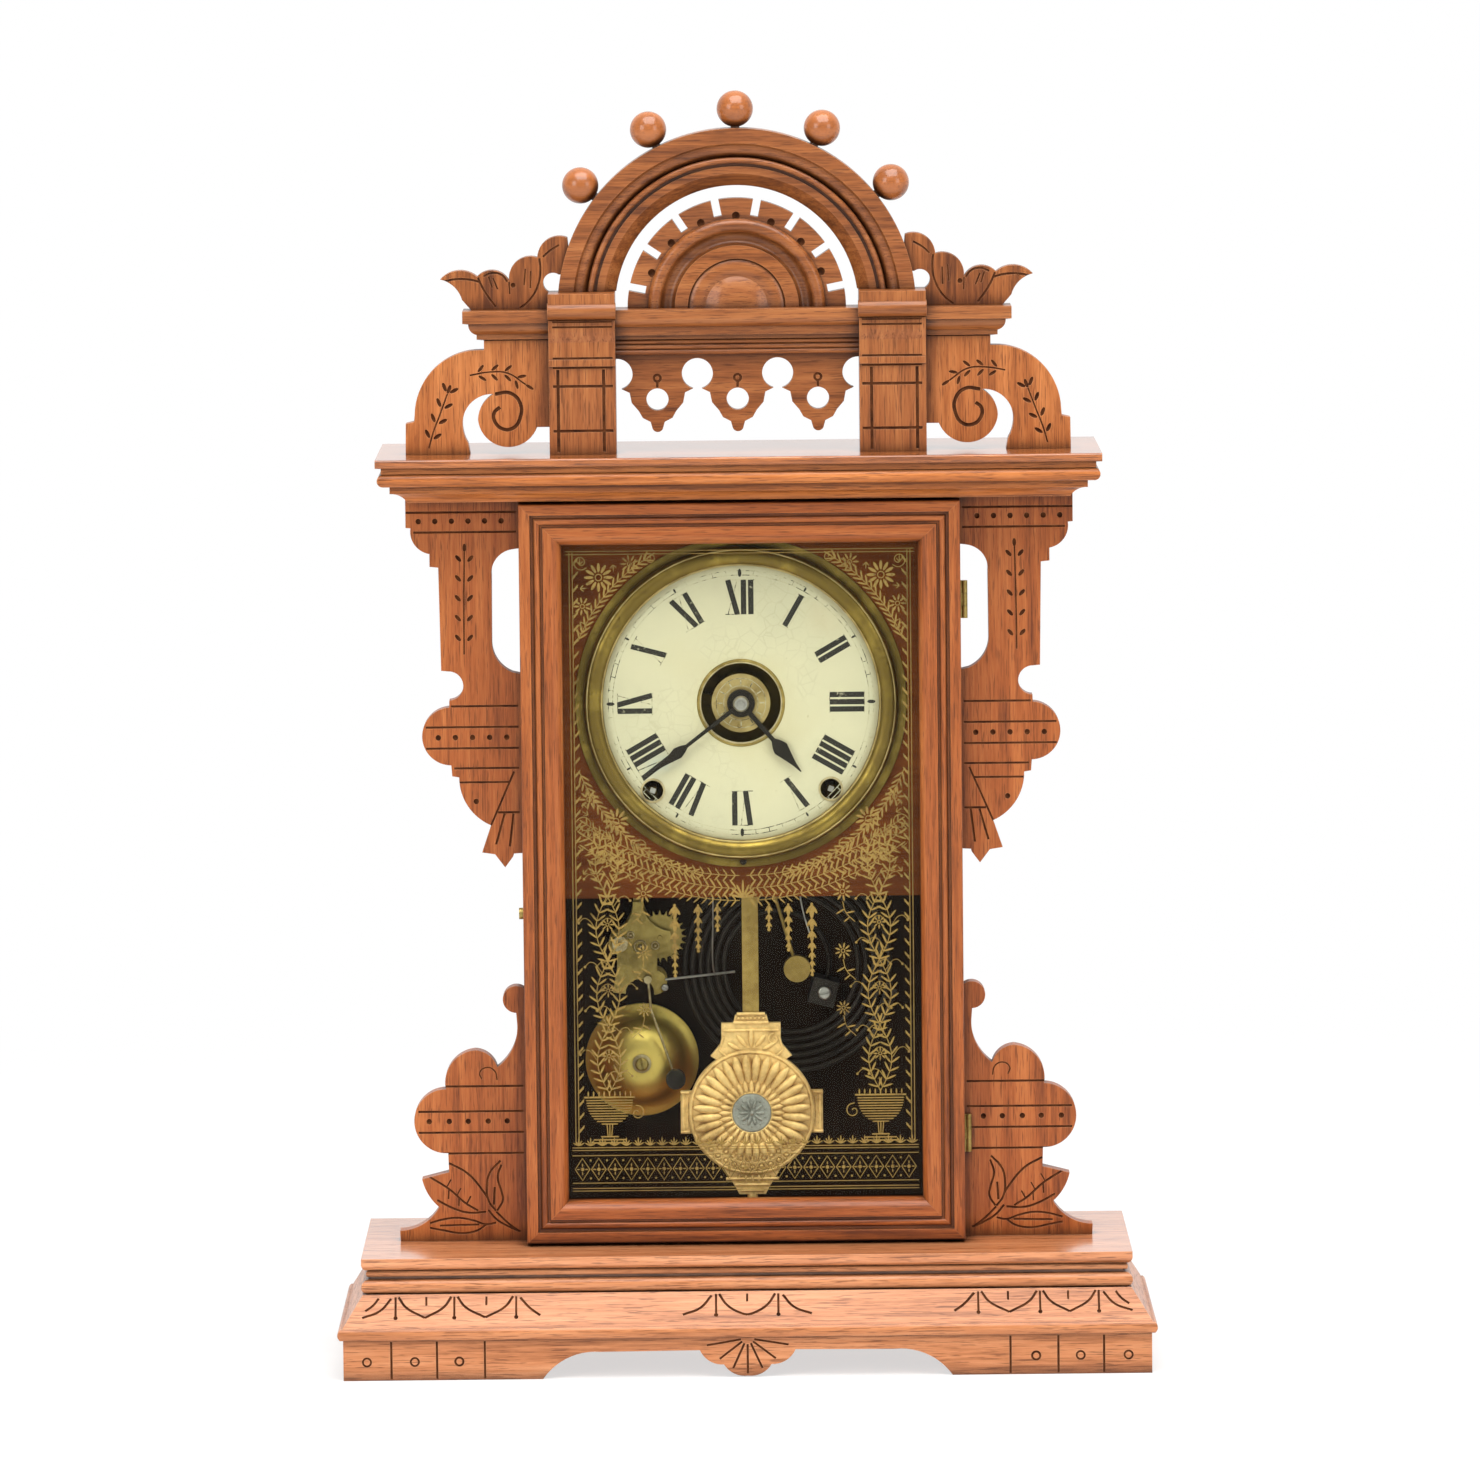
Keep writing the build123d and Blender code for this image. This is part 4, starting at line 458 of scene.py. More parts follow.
FINISH = {
    walnut_cornice: "cornice_moulding case_top_board",
    walnut_fret: "crest_fret_panel",
    walnut_flower: "crest_flowers",
    walnut_crest: "crest_rails crest_arch crest_rosette",
    walnut_ball: "crest_balls",
    walnut_cap: "cornice_board",
    walnut_base: "plinth_front base_moulding",
    walnut_shelf: "base_board",
    walnut_deep: "plinth_sides",
    walnut_tall: (
        "case_side_left case_side_right upper_wing_left upper_wing_right lower_wing_left lower_wing_right"
    ),
    walnut_scroll: "crest_scrolls",
    walnut_post: "crest_posts",
    walnut_door: "door_stile_left door_stile_right",
    walnut_rail: "door_rail_top door_rail_bottom",
    board_red: "dial_board door_glass_beads",
    board_black: "case_back_board",
    bezel_brass: "dial_bezel",
    bell_brass: "alarm_bell",
    plate_brass: "alarm_frame alarm_wheel case_hinge_leaves door_hinge_leaves door_catch_pin",
    tarnished_and_shaded_movement_brass: (
        "movement_frame time_great_wheel strike_great_wheel motion_wheel hour_wheel escape_wheel"
    ),
    pale_brass: "winding_grommets bell_post alarm_winder",
    disc_brass: "alarm_disc",
    rod_brass: "pendulum_rod strike_hammer",
    gilt: "pendulum_bob",
    silver: "bob_medallion",
    bright_steel: "hand_nut centre_arbor verge",
    black_steel: "hour_hand minute_hand",
    hammer_finish: "alarm_hammer",
    gong_iron: "gong_coil gong_base mainsprings",
    enamel: "dial_pan",
    glass: "door_glass",
}
for material, names in FINISH.items():
    for name in names.split():
        mesh = nodes[name].data
        mesh.materials.clear()
        mesh.materials.append(material)


def settle(mesh):
    """Smooth faces with crisp edges at real corners; faces that look straight forward stay flat."""
    for polygon in mesh.polygons:
        polygon.use_smooth = True
    mesh.set_sharp_from_angle(angle=SMOOTH_BELOW)
    for polygon in mesh.polygons:
        polygon.use_smooth = abs(polygon.normal.y) < FLAT_FACE


def to_mesh(name, bm):
    """A mesh from a bmesh, which is freed."""
    mesh = bpy.data.meshes.new(name)
    bm.to_mesh(mesh)
    bm.free()
    return mesh


def add_object(name, data):
    made = bpy.data.objects.new(name, data)
    scene.collection.objects.link(made)
    return made


def piece(name, bm, body, material):
    """A finished piece from a bmesh, in one material, riding on a body."""
    bmesh.ops.recalc_face_normals(bm, faces=bm.faces)
    mesh = to_mesh(name, bm)
    mesh.materials.append(material)
    settle(mesh)
    made = add_object(name, mesh)
    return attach(made, body)


def evaluated_mesh(holder):
    """The mesh of an object with its modifiers or curve settings applied; the object is removed."""
    scene.collection.objects.link(holder)
    graph = bpy.context.evaluated_depsgraph_get()
    mesh = bpy.data.meshes.new_from_object(holder.evaluated_get(graph))
    bpy.data.objects.remove(holder)
    return mesh


def ease(bm, edges, offset, segments):
    """Rounds edges off, by an offset in millimetres."""
    bmesh.ops.bevel(
        bm, geom=edges, offset=offset * MM, affect="EDGES", segments=segments, profile=0.5, material=-1
    )


def level(y):
    """The depth function of a flat face that looks forward."""
    return lambda x, z: y


def on_circle(x, z, radius, angle):
    """Point on a circle about x, z, at an angle up from +X."""
    turn = math.radians(angle)
    return x + radius * math.cos(turn), z + radius * math.sin(turn)


# Steps of a curve between two points, faces of dots and leaves, and rises before a stagger starts anew
CURVE_STEPS = 5
DOT_FACETS = (10, 6)
LEAF_FACETS = (6, 5)
STAGGER_RISES = 11


class Strokes:
    """Lines, dots, leaves and rings drawn in X and Z on a face; depth_at gives the face's Y.

    Each stroke is drawn on every side, 1 or -1, as a sign of X. With a stagger, each stroke stands a hair
    higher than the last, so that no two share a plane. More rounds make a line rounder in section.
    """

    def __init__(self, depth_at, sides=ONE_SIDE, squash=1.0, stagger=0.0, rounds=0):
        self.depth_at = depth_at
        self.sides = sides
        self.squash = squash
        self.stagger = stagger
        self.facets = LEAF_FACETS
        self.count = 0
        self.balls = []
        self.curve = bpy.data.curves.new("strokes", "CURVE")
        self.curve.dimensions = "3D"
        self.curve.bevel_depth = MM
        self.curve.bevel_resolution = rounds
        self.curve.use_fill_caps = True

    def point(self, x, z):
        rise = self.stagger * (1 + self.count % STAGGER_RISES)
        return Vector((x, self.depth_at(x, z) - rise, z)) * MM

    def line(self, points, half_width, closed=False, straight=False):
        """A line through points, curved where there are more than two, unless it is to be straight."""
        curved = len(points) > 2 and not straight
        handle = "AUTO" if curved else "VECTOR"
        for side in self.sides:
            self.count += 1
            spline = self.curve.splines.new("BEZIER")
            spline.bezier_points.add(len(points) - 1)
            spline.resolution_u = CURVE_STEPS if curved else 1
            spline.use_cyclic_u = closed
            for place, (x, z) in zip(spline.bezier_points, points):
                place.co = self.point(side * x, z)
                place.radius = half_width
                place.handle_left_type = handle
                place.handle_right_type = handle

    def lines(self, paths, half_width):
        for points in paths:
            self.line(points, half_width)

    def bar(self, x, z, half_length, half_width):
        """A level line about x, z."""
        self.line([(x - half_length, z), (x + half_length, z)], half_width)

    def upright(self, x, start, end, half_width):
        self.line([(x, start), (x, end)], half_width)

    def ball(self, where, around, along):
        """A sphere of radius 1, placed and shaped by a matrix."""
        bm = bmesh.new()
        bmesh.ops.create_uvsphere(bm, u_segments=around, v_segments=along, radius=1.0, matrix=where)
        self.balls.append(to_mesh("stroke", bm))
        self.count += 1

    def dot(self, x, z, radius):
        size = Matrix.Diagonal((radius * MM, radius * MM, radius * MM, 1))
        for side in self.sides:
            self.ball(Matrix.Translation(self.point(side * x, z)) @ size, *DOT_FACETS)

    def leaf(self, x, z, angle, length, width):
        """A pointed oval whose foot is at x, z and whose tip lies at the angle, up from +X."""
        for side in self.sides:
            turn = math.radians(angle if side > 0 else 180 - angle)
            foot = self.point(side * x, z)
            tip = Vector((math.cos(turn), 0, math.sin(turn))) * (length * MM)
            size = Matrix.Diagonal((width / 2 * MM, width / 2 * MM, length / 2 * MM, 1))
            lean = Matrix.Rotation(math.pi / 2 - turn, 4, "Y")
            self.ball(Matrix.Translation(foot + tip / 2) @ lean @ size, *self.facets)

    def ring(self, x, z, radius, half_width):
        points = [on_circle(x, z, radius, step * 45) for step in range(8)]
        self.line(points, half_width, closed=True)

    def sprig(self, stem, leaf_length, leaf_width, pitch, half_width, spread=42, start=0.5, apart=0.0):
        """A stem with leaves in pairs along it, standing off by a gap, and one at the tip."""
        self.line(stem, half_width)
        travelled = 0.0
        wait = pitch * start
        for (x0, z0), (x1, z1) in zip(stem, stem[1:]):
            length = math.hypot(x1 - x0, z1 - z0)
            heading = math.degrees(math.atan2(z1 - z0, x1 - x0))
            while wait < travelled + length:
                share = (wait - travelled) / length
                x = x0 + (x1 - x0) * share
                z = z0 + (z1 - z0) * share
                for lean in (heading + spread, heading - spread):
                    self.leaf(*on_circle(x, z, apart, lean), lean, leaf_length, leaf_width)
                wait += pitch
            travelled += length
        self.leaf(*stem[-1], heading, leaf_length, leaf_width)

    def result(self):
        """All strokes in one bmesh, pressed flat towards the face if asked."""
        bm = bmesh.new()
        lines = [evaluated_mesh(bpy.data.objects.new("strokes", self.curve))] if self.curve.splines else []
        for mesh in lines:
            bm.from_mesh(mesh)
            bmesh.ops.remove_doubles(bm, verts=bm.verts, dist=WELD)
        for mesh in self.balls:
            bm.from_mesh(mesh)
        for mesh in lines + self.balls:
            bpy.data.meshes.remove(mesh)
        if self.squash != 1.0:
            to_face = Matrix.Translation((0, -self.depth_at(0, 0) * MM, 0))
            bmesh.ops.scale(bm, vec=(1, self.squash, 1), space=to_face, verts=bm.verts)
        return bm


def beyond_mitre(face):
    """True for the faces of the base moulding's returned ends, behind its mitred corners."""
    centre = face.calc_center_median()
    side = math.copysign(1.0, centre.x)
    depth = centre.y - moulding_low.y + moulding_low.x + abs(centre.x)
    return depth > (face.normal.y + side * face.normal.x) * WELD


def board_copy(node, left_out):
    """A closed copy of a node's mesh without the faces that a test leaves out."""
    bm = bmesh.new()
    bm.from_mesh(nodes[node].data)
    bmesh.ops.delete(bm, geom=[face for face in bm.faces if left_out(face)], context="FACES")
    bmesh.ops.remove_doubles(bm, verts=bm.verts, dist=2 * WELD)
    mesh = to_mesh("block", bm)
    if "custom_normal" in mesh.attributes:
        mesh.attributes.remove(mesh.attributes["custom_normal"])
    return mesh


def carve(node, strokes, material, is_end=lambda face: False):
    """Cuts the strokes into a copy of a node, with cut faces dark with stain and painted shade, and shows it
    in its place.

    The ends of a mitred moulding are solids of their own, and stay as they are.
    """
    tool_bm = strokes.result()
    bmesh.ops.recalc_face_normals(tool_bm, faces=tool_bm.faces)
    tool_mesh = to_mesh("cutter", tool_bm)
    tool_mesh.materials.append(stain)
    tool = add_object("cutter", tool_mesh)
    block_mesh = board_copy(node, is_end)
    block_mesh.materials.append(material)
    block = bpy.data.objects.new("block", block_mesh)
    cut = block.modifiers.new("carving", "BOOLEAN")
    cut.operation = "DIFFERENCE"
    cut.solver = "EXACT"
    cut.use_self = True
    cut.material_mode = "TRANSFER"
    cut.object = tool
    mesh = evaluated_mesh(block)
    bpy.data.objects.remove(tool)
    ends_mesh = board_copy(node, lambda face: not is_end(face))
    whole = bmesh.new()
    whole.from_mesh(mesh)
    whole.from_mesh(ends_mesh)
    whole.to_mesh(mesh)
    whole.free()
    for spent in (tool_mesh, block_mesh, ends_mesh):
        bpy.data.meshes.remove(spent)
    settle(mesh)
    mesh.name = "carved_" + node
    made = add_object("carved_" + node, mesh)
    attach(made, "case")
    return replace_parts(made, node)


# Carving: half widths of the cuts, radii of the punched dots, and places that several cuts share
FINE_CUT = 0.52
POST_CUT = 0.72
POST_CROSS_CUT = POST_CUT * 0.93
LEAF_CUT = 0.52
STEM_CUT = 0.4
VEIN_CUT = 0.38
SPIRAL_CUT = 0.85
FRET_CUT = 0.6
RING_CUT = 0.5
SLOPE_CUT = 0.6
QUIRK_CUT = 0.45
DOT_CUT = 1.3
ROSETTE_DOT = 1.9
ROSETTE_DOT_RING = 41.2
ROSETTE_STEP = 5.0
FRET_HOLES = (-36.2, 0.0, 36.2)
FRET_HOLE_DROP = 41.2
STAGGER = 0.013
WING_INNER = 100.6
POST_CENTRE = 69.5
POST_REACH = 13.5
SLOPE_TOP = 36.6
SLOPE_FOOT = 28.0
SLOPE_RUN = 9.1
SLOPE_RISE = 14.2
SLOPE_BACK = 2.1
MOULDING_LIP = 5.1


def cuts(depth_at, sides=ONE_SIDE):
    """Strokes to cut into a face, round in section."""
    return Strokes(depth_at, sides, stagger=STAGGER, rounds=2)


def front_of(node):
    """A function that finds the Y of a node's front at a point in X and Z."""

    def face(x, z):
        hit, place = nodes[node].ray_cast(Vector((x * MM, -0.2, z * MM)), (0, 1, 0))[:2]
        return place.y / MM if hit else 0.0

    return face


def carve_upper_wing(node, side):
    """Cross lines with dots, a leafy sprig up the middle and a tied ribbon at the foot."""
    cut = cuts(level(wing_y), (side,))
    for z, outer in ((386.0, 150.4), (377.0, 147.0), (298.0, 131.0), (288.5, 142.6), (278.9, 142.6),
                     (269.8, 130.0), (263.4, 127.6)):
        start = WING_INNER + 4.6 if z < 265 else WING_INNER
        cut.line([(start, z), (outer, z)], FINE_CUT)
    for step in range(6):
        cut.dot(107.3 + step * 7.48, 382.0, DOT_CUT)
    for step in range(5):
        cut.dot(106.0 + step * 7.75, 283.8, DOT_CUT)
    cut.sprig([(124.8, 321.5), (124.6, 346.0), (124.1, 368.0)], 3.8, 2.0, 9.0, STEM_CUT, apart=2.2)
    cut.dot(120.2, 254.7, DOT_CUT)
    ribbon = (
        [(102.9, 268.1), (113.6, 243.7)],
        [(WING_INNER, 249.6), (110.4, 249.6)],
        [(103.4, 249.0), (105.2, 234.0)],
        [(107.4, 249.0), (111.4, 235.0)],
    )
    cut.lines(ribbon, FINE_CUT)
    carve(node, cut, walnut_tall)


def carve_lower_wing(node, side):
    """Cross lines with dots, a curl under the knob, and three veined leaves at the foot."""
    cut = cuts(level(wing_y), (side,))
    for z, outer in ((124.6, 138.0), (113.1, 148.4), (103.5, 148.4), (93.9, 138.0)):
        cut.line([(WING_INNER, z), (outer, z)], FINE_CUT)
    for x in (108.1, 116.7, 125.8, 134.4, 143.5):
        cut.dot(x, 108.6, DOT_CUT)
    knob_curl = [(112.4, 127.4), (113.4, 131.4), (116.9, 133.2), (120.2, 131.0), (119.4, 127.8)]
    cut.line(knob_curl, STEM_CUT)
    big_leaf = [
        [(134.8, 89.5), (126.8, 85.0), (119.2, 76.2), (117.4, 73.4)],
        [(140.4, 72.6), (132.6, 68.5), (125.9, 66.6), (118.2, 67.0)],
        [(143.8, 83.3), (134.8, 77.5), (127.7, 71.2), (121.8, 67.5)],
    ]
    tall_leaf = [
        [(111.4, 90.4), (116.4, 84.6), (117.7, 78.4), (116.8, 71.6), (113.7, 67.4)],
        [(111.0, 88.6), (112.7, 82.8), (111.0, 76.0), (110.5, 72.4), (113.2, 67.4)],
        [(114.1, 78.4), (114.6, 70.2)],
    ]
    low_leaf = [
        [(143.8, 62.0), (137.0, 63.8), (130.2, 64.3), (123.5, 62.9), (118.2, 61.2), (113.7, 62.0)],
        [(143.8, 59.8), (137.0, 58.5), (129.4, 57.2), (122.2, 58.5), (118.2, 61.2)],
        [(139.3, 60.8), (121.4, 61.2)],
    ]
    stems = [
        [(117.2, 67.8), (113.6, 63.6), (107.8, 60.0), (102.6, 57.8)],
        [(113.6, 67.0), (108.6, 62.0), (103.4, 58.0)],
    ]
    cut.lines(big_leaf + tall_leaf + low_leaf, LEAF_CUT)
    for x, z, dx, dz in ((136.0, 78.4, 3.4, 3.6), (131.4, 74.6, 3.2, 3.4), (126.8, 71.0, 2.8, 3.2),
                         (135.0, 77.6, -0.4, -4.6), (130.4, 73.8, -0.2, -4.2)):
        cut.line([(x, z), (x - dx * 0.6, z + dz)], VEIN_CUT)
    cut.lines(stems, LEAF_CUT)
    carve(node, cut, walnut_tall)


def carve_scrolls():
    """The scroll's spiral line, a sprig up its leg and another over its head."""
    cut = cuts(level(front_y("crest_scrolls")), BOTH_SIDES)
    spiral = [(109.3, 439.3), (102.5, 439.7), (98.0, 435.1), (98.1, 428.4), (101.3, 423.9), (105.9, 423.5),
              (109.4, 426.7), (109.8, 430.8), (107.1, 433.4)]
    leg = [(139.4, 415.0), (137.4, 422.0), (134.5, 429.5), (130.7, 439.6)]
    head = [(120.6, 447.8), (112.0, 449.2), (103.6, 448.7), (95.4, 443.4)]
    cut.line(spiral, SPIRAL_CUT)
    cut.sprig(leg, 4.4, 2.0, 7.4, STEM_CUT, apart=1.3)
    cut.sprig(head, 4.2, 1.7, 6.0, STEM_CUT, apart=1.2)
    carve("crest_scrolls", cut, walnut_scroll)


def carve_posts():
    """Crossed lines on the lower part of each post, and quirks between the mouldings of its cap, dark lines
    of painted shade at its steps.
    """
    cut = cuts(front_of("crest_posts"), BOTH_SIDES)
    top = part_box("crest_posts")[1].z / MM
    for x in (80.7, 60.2):
        cut.upright(x, 413.4, 450.4, POST_CUT)
    for z in (442.9, 422.8):
        cut.bar(POST_CENTRE, z, POST_REACH, POST_CROSS_CUT)
    # Painted shade: the quirks are dark cuts along the cap's steps, where shade falls
    for drop in (12.7, 15.0, 29.1, 33.4):
        cut.bar(POST_CENTRE, top - drop, POST_REACH, QUIRK_CUT)
    carve("crest_posts", cut, walnut_post)


def carve_flowers():
    """Petal folds and veins of the two flowers."""
    cut = cuts(level(front_y("crest_flowers")), BOTH_SIDES)
    petals = (
        [(132.0, 13.0), (126.0, 14.0), (119.6, 13.6), (115.2, 12.4)],
        [(116.4, 14.6), (114.6, 10.4), (111.4, 5.2), (108.6, 1.4)],
        [(88.6, 23.0), (88.2, 17.6), (89.4, 10.8), (93.8, 3.6), (97.6, 0.6)],
        [(87.0, 23.6), (83.6, 26.6), (79.6, 28.9)],
        [(113.8, 15.2), (110.0, 16.6), (105.6, 15.6), (103.2, 12.6)],
    )
    veins = ((109.6, 14.4, 107.6, 9.2), (111.6, 15.0, 110.0, 10.0), (92.6, 17.4, 92.8, 9.6),
             (95.0, 18.4, 95.6, 11.0), (102.4, 12.6, 102.2, 7.0))
    for points in petals:
        cut.line([(x, rail_top + z) for x, z in points], LEAF_CUT)
    for x0, z0, x1, z1 in veins:
        cut.line([(x0, rail_top + z0), (x1, rail_top + z1)], STEM_CUT)
    cut.dot(100.6, rail_top + 11.0, 1.2)
    carve("crest_flowers", cut, walnut_flower)


def carve_fret():
    """A ring and stem cut above each round hole of the fret."""
    cut = cuts(level(front_y("crest_fret_panel")))
    hole_z = rail_top - FRET_HOLE_DROP
    for x in FRET_HOLES:
        cut.ring(x, hole_z + 9.6, 1.5, FRET_CUT)
        cut.upright(x, hole_z + 8.0, hole_z + 5.4, FRET_CUT)
    carve("crest_fret_panel", cut, walnut_fret)


def carve_rosette():
    """Punched dots between the teeth of the rosette."""
    cut = cuts(level(front_y("crest_rosette") + ROSETTE_STEP))
    for angle in (0.0, 22.5, 45.0, 67.5, -22.5, -45.0, -67.5):
        turn = math.radians(angle)
        x = ROSETTE_DOT_RING * math.sin(turn)
        cut.dot(x, rail_top + ROSETTE_DOT_RING * math.cos(turn), ROSETTE_DOT)
    carve("crest_rosette", cut, walnut_crest)


def carve_plinth():
    """Upright lines and rings at the ends of the plinth, a fan on its pendant."""
    cut = cuts(level(front_y("plinth_front")), BOTH_SIDES)
    for x in (160.0, 139.5, 118.0):
        cut.upright(x, 0.6, 17.6, FINE_CUT)
    for x in (171.0, 149.5, 129.5):
        cut.ring(x, 8.4, 1.8, RING_CUT)
    cut.sides = ONE_SIDE
    cut.upright(0.0, 1.6, 15.0, FINE_CUT)
    cut.sides = BOTH_SIDES
    fan = ([(1.4, 15.4), (6.6, 4.0)], [(2.4, 16.2), (12.6, 8.4)], [(3.0, 17.2), (18.4, 14.6)])
    cut.lines(fan, FINE_CUT)
    carve("plinth_front", cut, walnut_base)


def slope_face(x, z):
    """Y of the base moulding's sloped face at a level."""
    foot_z = moulding_low.z / MM + MOULDING_LIP
    return moulding_low.y / MM + SLOPE_BACK + (z - foot_z) * SLOPE_RUN / SLOPE_RISE


def carve_slope():
    """Hanging swags with drops along the sloped moulding."""
    cut = cuts(slope_face, BOTH_SIDES)
    for x in (158.0, 131.6, 103.8, 14.0):
        cut.upright(x, SLOPE_TOP, SLOPE_FOOT, FINE_CUT)
        cut.dot(x, SLOPE_FOOT, 1.0)
    for x in (144.2, 117.2):
        cut.upright(x, SLOPE_TOP, 33.0, FINE_CUT)
    for outer, inner, low in ((158.0, 131.6, 28.6), (131.6, 103.8, 28.6)):
        middle = (outer + inner) / 2
        reach = (outer - inner) / 2
        half_swag = [(outer - reach * 0.1, SLOPE_TOP), (outer - reach * 0.35, 32.4),
                     (middle + reach * 0.1, low), (middle, low - 0.6)]
        cut.lines([half_swag, [(2 * middle - x, z) for x, z in half_swag]], SLOPE_CUT)
    sweeps = (
        [(160.0, 36.0), (165.0, 31.0), (173.0, 28.2)],
        [(165.6, 36.2), (168.0, 33.4), (171.6, 31.0)],
        [(102.0, 36.0), (97.6, 31.6), (93.0, 28.6)],
        [(16.0, 36.0), (21.0, 31.0), (29.0, 28.2)],
        [(12.6, SLOPE_TOP), (9.0, 32.0), (2.6, 28.6), (0.0, SLOPE_FOOT)],
    )
    cut.lines(sweeps, SLOPE_CUT)
    cut.sides = ONE_SIDE
    cut.upright(0.0, SLOPE_TOP, 33.4, FINE_CUT)
    carve("base_moulding", cut, walnut_base, beyond_mitre)


for side, end in ((1, "right"), (-1, "left")):
    carve_upper_wing("upper_wing_" + end, side)
    carve_lower_wing("lower_wing_" + end, side)
carve_scrolls()
carve_posts()
carve_flowers()
carve_fret()
carve_rosette()
carve_plinth()
carve_slope()


# Dial print, a thin layer on the enamel
NUMERALS = ("XII", "I", "II", "III", "IIII", "V", "VI", "VII", "VIII", "IX", "X", "XI")
LETTER_WIDTH = {"I": 3.3, "V": 6.6, "X": 6.6}
NUMERAL_FOOT = 40.2
NUMERAL_HEAD = 55.8
THICK_STROKE = 1.22
THIN_STROKE = 0.21
TRACK_STROKE = 0.17
TRACK_INNER = 58.0
TRACK_OUTER = 60.0
TRACK_MIDDLE = 59.0
LETTER_EDGE = 1.2
PRINT_SQUASH = 0.06
PRINT_LIFT = 0.02


def on_dial(radius, angle):
    """Point at a clock angle, clockwise from the top."""
    turn = math.radians(angle)
    return radius * math.sin(turn), dial_z + radius * math.cos(turn)


def draw_numeral(bold, thin, hour):
    """One numeral with its feet towards the centre."""
    turn = math.radians(hour * 30)
    word = NUMERALS[hour]
    across = -sum(LETTER_WIDTH[letter] for letter in word) / 2

    def at(u, radius):
        x = radius * math.sin(turn) + u * math.cos(turn)
        z = dial_z + radius * math.cos(turn) - u * math.sin(turn)
        return x, z

    for letter in word:
        half = LETTER_WIDTH[letter] / 2
        middle = across + half
        if letter == "I":
            bold.line([at(middle, NUMERAL_FOOT), at(middle, NUMERAL_HEAD)], THICK_STROKE)
        else:
            spread = half - LETTER_EDGE if letter == "X" else 0.0
            head_left = at(middle - half + LETTER_EDGE, NUMERAL_HEAD)
            head_right = at(middle + half - LETTER_EDGE, NUMERAL_HEAD)
            bold.line([head_left, at(middle + spread, NUMERAL_FOOT)], THICK_STROKE)
            thin.line([head_right, at(middle - spread, NUMERAL_FOOT)], THIN_STROKE)
        for radius in (NUMERAL_FOOT, NUMERAL_HEAD):
            thin.line([at(middle - half, radius), at(middle + half, radius)], THIN_STROKE)
        across += LETTER_WIDTH[letter]


def print_dial():
    """Roman numerals, minute track and five-minute marks."""
    bold = Strokes(level(dial_face_y - PRINT_LIFT), squash=PRINT_SQUASH)
    thin = Strokes(level(dial_face_y - PRINT_LIFT), squash=PRINT_SQUASH)
    for hour in range(12):
        draw_numeral(bold, thin, hour)
        size = 1.9 if hour % 3 == 0 else 1.1
        bold.leaf(*on_dial(TRACK_MIDDLE - size, hour * 30), 90 - hour * 30, 2 * size, size)
    for radius in (TRACK_INNER, TRACK_OUTER):
        ring = [on_dial(radius, step * 15) for step in range(24)]
        thin.line(ring, TRACK_STROKE, closed=True)
    for minute in range(60):
        mark = [on_dial(radius, minute * 6) for radius in (TRACK_INNER, TRACK_OUTER)]
        thin.line(mark, TRACK_STROKE)
    piece("dial_numerals", bold.result(), "case", ink)
    piece("dial_minute_track", thin.result(), "case", faint_ink)


print_dial()


# Small metalwork and beads; the screw's and its slot's sizes are shares of the head's radius
LIP_RADIUS = 19.0
LIP_HALF = 1.0
EDGE_RADIUS = 18.4
EDGE_HALF = 0.4
DISC_MARKS = 11.2
DISC_RING = 0.12
DISC_STROKE = 0.22
DISC_LIFT = 0.01
SCREW_HEIGHT = 0.55
SCREW_ROUND = 0.28
SLOT_HALF = 0.17
ARBOR_SQUARE = 2.6
ARBOR_STUB = 1.2
ARBOR_STAND = 0.5
ARBOR_TURN = math.radians(20)
GROMMET_RADIUS = 5.6
BUSH_RIM = 0.4
SHELF_BEAD = 1.5
SHELF_BEAD_LIFT = 2.6
SHELF_HOLLOW = 3.1
CAP_BEAD = 3.8
CAP_BEAD_BACK = 2.2
CAP_BEAD_DROP = 7.8
POST_WIDTH = 30.0
WIRE_TOP = 236.0
WIRE_FOOT = 170.0
WIRE_HALF = 0.34
LEVER_HALF = 0.55


def rounded_ring(name, y, radius, half_width, material):
    """A brass ring of round section about the dial's axis."""
    bm = bmesh.new()
    bmesh.ops.create_circle(bm, segments=10, radius=half_width * MM)
    bmesh.ops.translate(bm, vec=(radius * MM, 0, 0), verts=bm.verts)
    bmesh.ops.spin(
        bm, geom=bm.edges[:], cent=(0, 0, 0), axis=(0, 1, 0), angle=math.tau, steps=72, use_merge=True
    )
    bmesh.ops.translate(bm, vec=(0, y * MM, dial_z * MM), verts=bm.verts)
    return piece(name, bm, "case", material)


